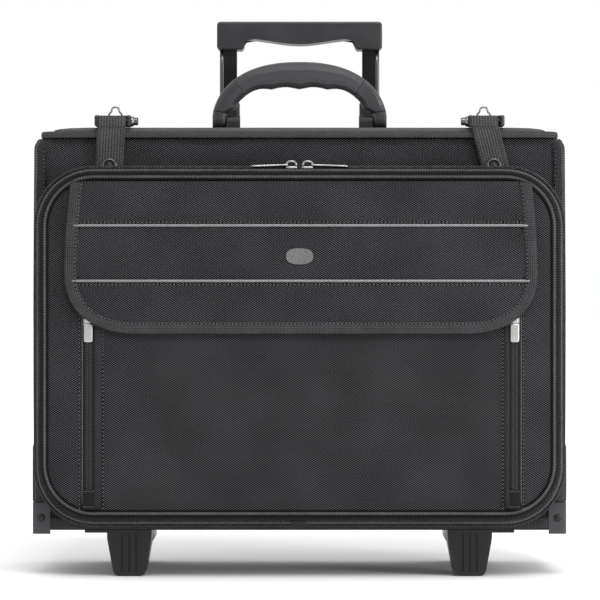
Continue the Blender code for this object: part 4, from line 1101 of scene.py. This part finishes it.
# ------------------------------------------------------------------ rivets, wheels
for side, s in SIDES:
    place(recalc(lathe("guard_rivet_" + side, [(3.3, -58.9), (3.3, -59.4), (2.7, -60.1), (1.5, -60.5), (0.3, -60.6)], (s * 222.9, 0, 51.0), "y", M_FOOT, 24)), "case")
    wx, wy, wz = s * 152.0, 72.5, 29.0
    tyre = lathe("wheel_tyre_" + side, [(19.5, -8.5), (21.5, -11.4), (24.0, -12.0), (26.6, -11.4), (28.2, -9.4), (28.9, -6.0), (29.0, -2.0), (29.0, 2.0), (28.9, 6.0), (28.2, 9.4), (26.6, 11.4), (24.0, 12.0), (21.5, 11.4), (19.5, 8.5)], (wx, wy, wz), "x", M_TYRE, 64, closed=True)
    recalc(tyre)
    place(tyre, "wheel_" + side, ("wheel_" + side,))
    hub = lathe("wheel_hub_" + side, [(4.5, -11.2), (8.5, -11.2), (9.2, -10.4), (9.6, -6.0), (17.0, -5.0), (18.0, -9.6), (19.7, -9.6), (19.7, 9.6), (18.0, 9.6), (17.0, 5.0), (9.6, 6.0), (9.2, 10.4), (8.5, 11.2), (4.5, 11.2)], (wx, wy, wz), "x", M_GUARD, 48, closed=True)
    recalc(hub)
    place(hub, "wheel_" + side)

# ------------------------------------------------------------------ divider
rows = []
for y, ins in ((10.2, 2.2), (11.2, 0.6), (14.0, 0.0), (16.8, 0.6), (17.8, 2.2)):
    pts, _ = rr_path(-221.5 + ins, 221.5 - ins, 46.8 + ins, 329.5 - ins, 8.0, 12.0, 5, (36, 24))
    rows.append(np.column_stack([pts[:, 0], np.full(len(pts), y), pts[:, 1]]))
div = grid("divider_fabric", rows, M_LINING, close_u=True, caps=True, uv_box=True)
recalc(div)
place(div, "case", ("divider",))

# ------------------------------------------------------------------ stage, camera, light
me = bpy.data.meshes.new("floor")
me.from_pydata([(-30, -30, 0), (30, -30, 0), (30, 30, 0), (-30, 30, 0)], [], [(0, 1, 2, 3)])
floor = link(bpy.data.objects.new("floor", me))
fm, fnt, fsh = new_mat("floor_pale")
fsh.inputs["Base Color"].default_value = (0.93, 0.93, 0.93, 1)
fsh.inputs["Roughness"].default_value = 0.9
fsh.inputs["Specular IOR Level"].default_value = 0.1
me.materials.append(fm)

cam_data = bpy.data.cameras.new("camera")
cam_data.lens = 171.9
cam_data.sensor_width = 36.0
cam_data.clip_end = 100.0
cam = link(bpy.data.objects.new("camera", cam_data))
cam.location = (0.0004, -2.532, 0.2389)
cam.rotation_euler = (math.radians(90), 0, 0)
bpy.context.scene.camera = cam

world = bpy.data.worlds.new("studio")
bpy.context.scene.world = world
world.use_nodes = True
wnt = world.node_tree
seen = wnt.nodes["Background"]
seen.inputs["Color"].default_value = (1, 1, 1, 1)
seen.inputs["Strength"].default_value = 1.0
lit = wnt.nodes.new("ShaderNodeBackground")
lit.inputs["Color"].default_value = (1.0, 1.0, 1.0, 1)
lit.inputs["Strength"].default_value = 1.0
# a big soft box overhead: brighter above, dimmer at the horizon
sky_at = wnt.nodes.new("ShaderNodeTexCoord")
sky_xyz = wnt.nodes.new("ShaderNodeSeparateXYZ")
sky_ramp = wnt.nodes.new("ShaderNodeMapRange")
for i, v in ((1, 0.0), (2, 1.0), (3, 0.43), (4, 1.27)):
    sky_ramp.inputs[i].default_value = v
wnt.links.new(sky_at.outputs["Generated"], sky_xyz.inputs[0])
wnt.links.new(sky_xyz.outputs["Z"], sky_ramp.inputs[0])
wnt.links.new(sky_ramp.outputs[0], lit.inputs["Strength"])
path = wnt.nodes.new("ShaderNodeLightPath")
pick = wnt.nodes.new("ShaderNodeMixShader")
wnt.links.new(path.outputs["Is Camera Ray"], pick.inputs[0])
wnt.links.new(lit.outputs[0], pick.inputs[1])
wnt.links.new(seen.outputs[0], pick.inputs[2])
wnt.links.new(pick.outputs[0], wnt.nodes["World Output"].inputs["Surface"])


def aim(o, loc, target):
    o.location = loc
    o.rotation_euler = (Vector(target) - Vector(loc)).to_track_quat("-Z", "Y").to_euler()
    return o


def area(name, loc, target, size, power):
    data = bpy.data.lights.new(name, "AREA")
    data.shape = "RECTANGLE"
    data.size, data.size_y = size
    data.energy = power
    return aim(link(bpy.data.objects.new(name, data)), loc, target)


sun = bpy.data.lights.new("key", "SUN")
sun.energy = 1.45
sun.angle = math.radians(22)
aim(link(bpy.data.objects.new("key", sun)), (0.35, -2.1, 2.5), (0, 0, 0))
area("side_fill", (1.7, -1.0, 0.6), (0.2, 0, 0.25), (0.6, 1.1), 24)
area("left_rim", (-1.9, -0.5, 0.6), (-0.1, 0, 0.3), (0.5, 1.2), 5)

scene = bpy.context.scene
scene.view_settings.view_transform = "Standard"
scene.view_settings.look = "None"
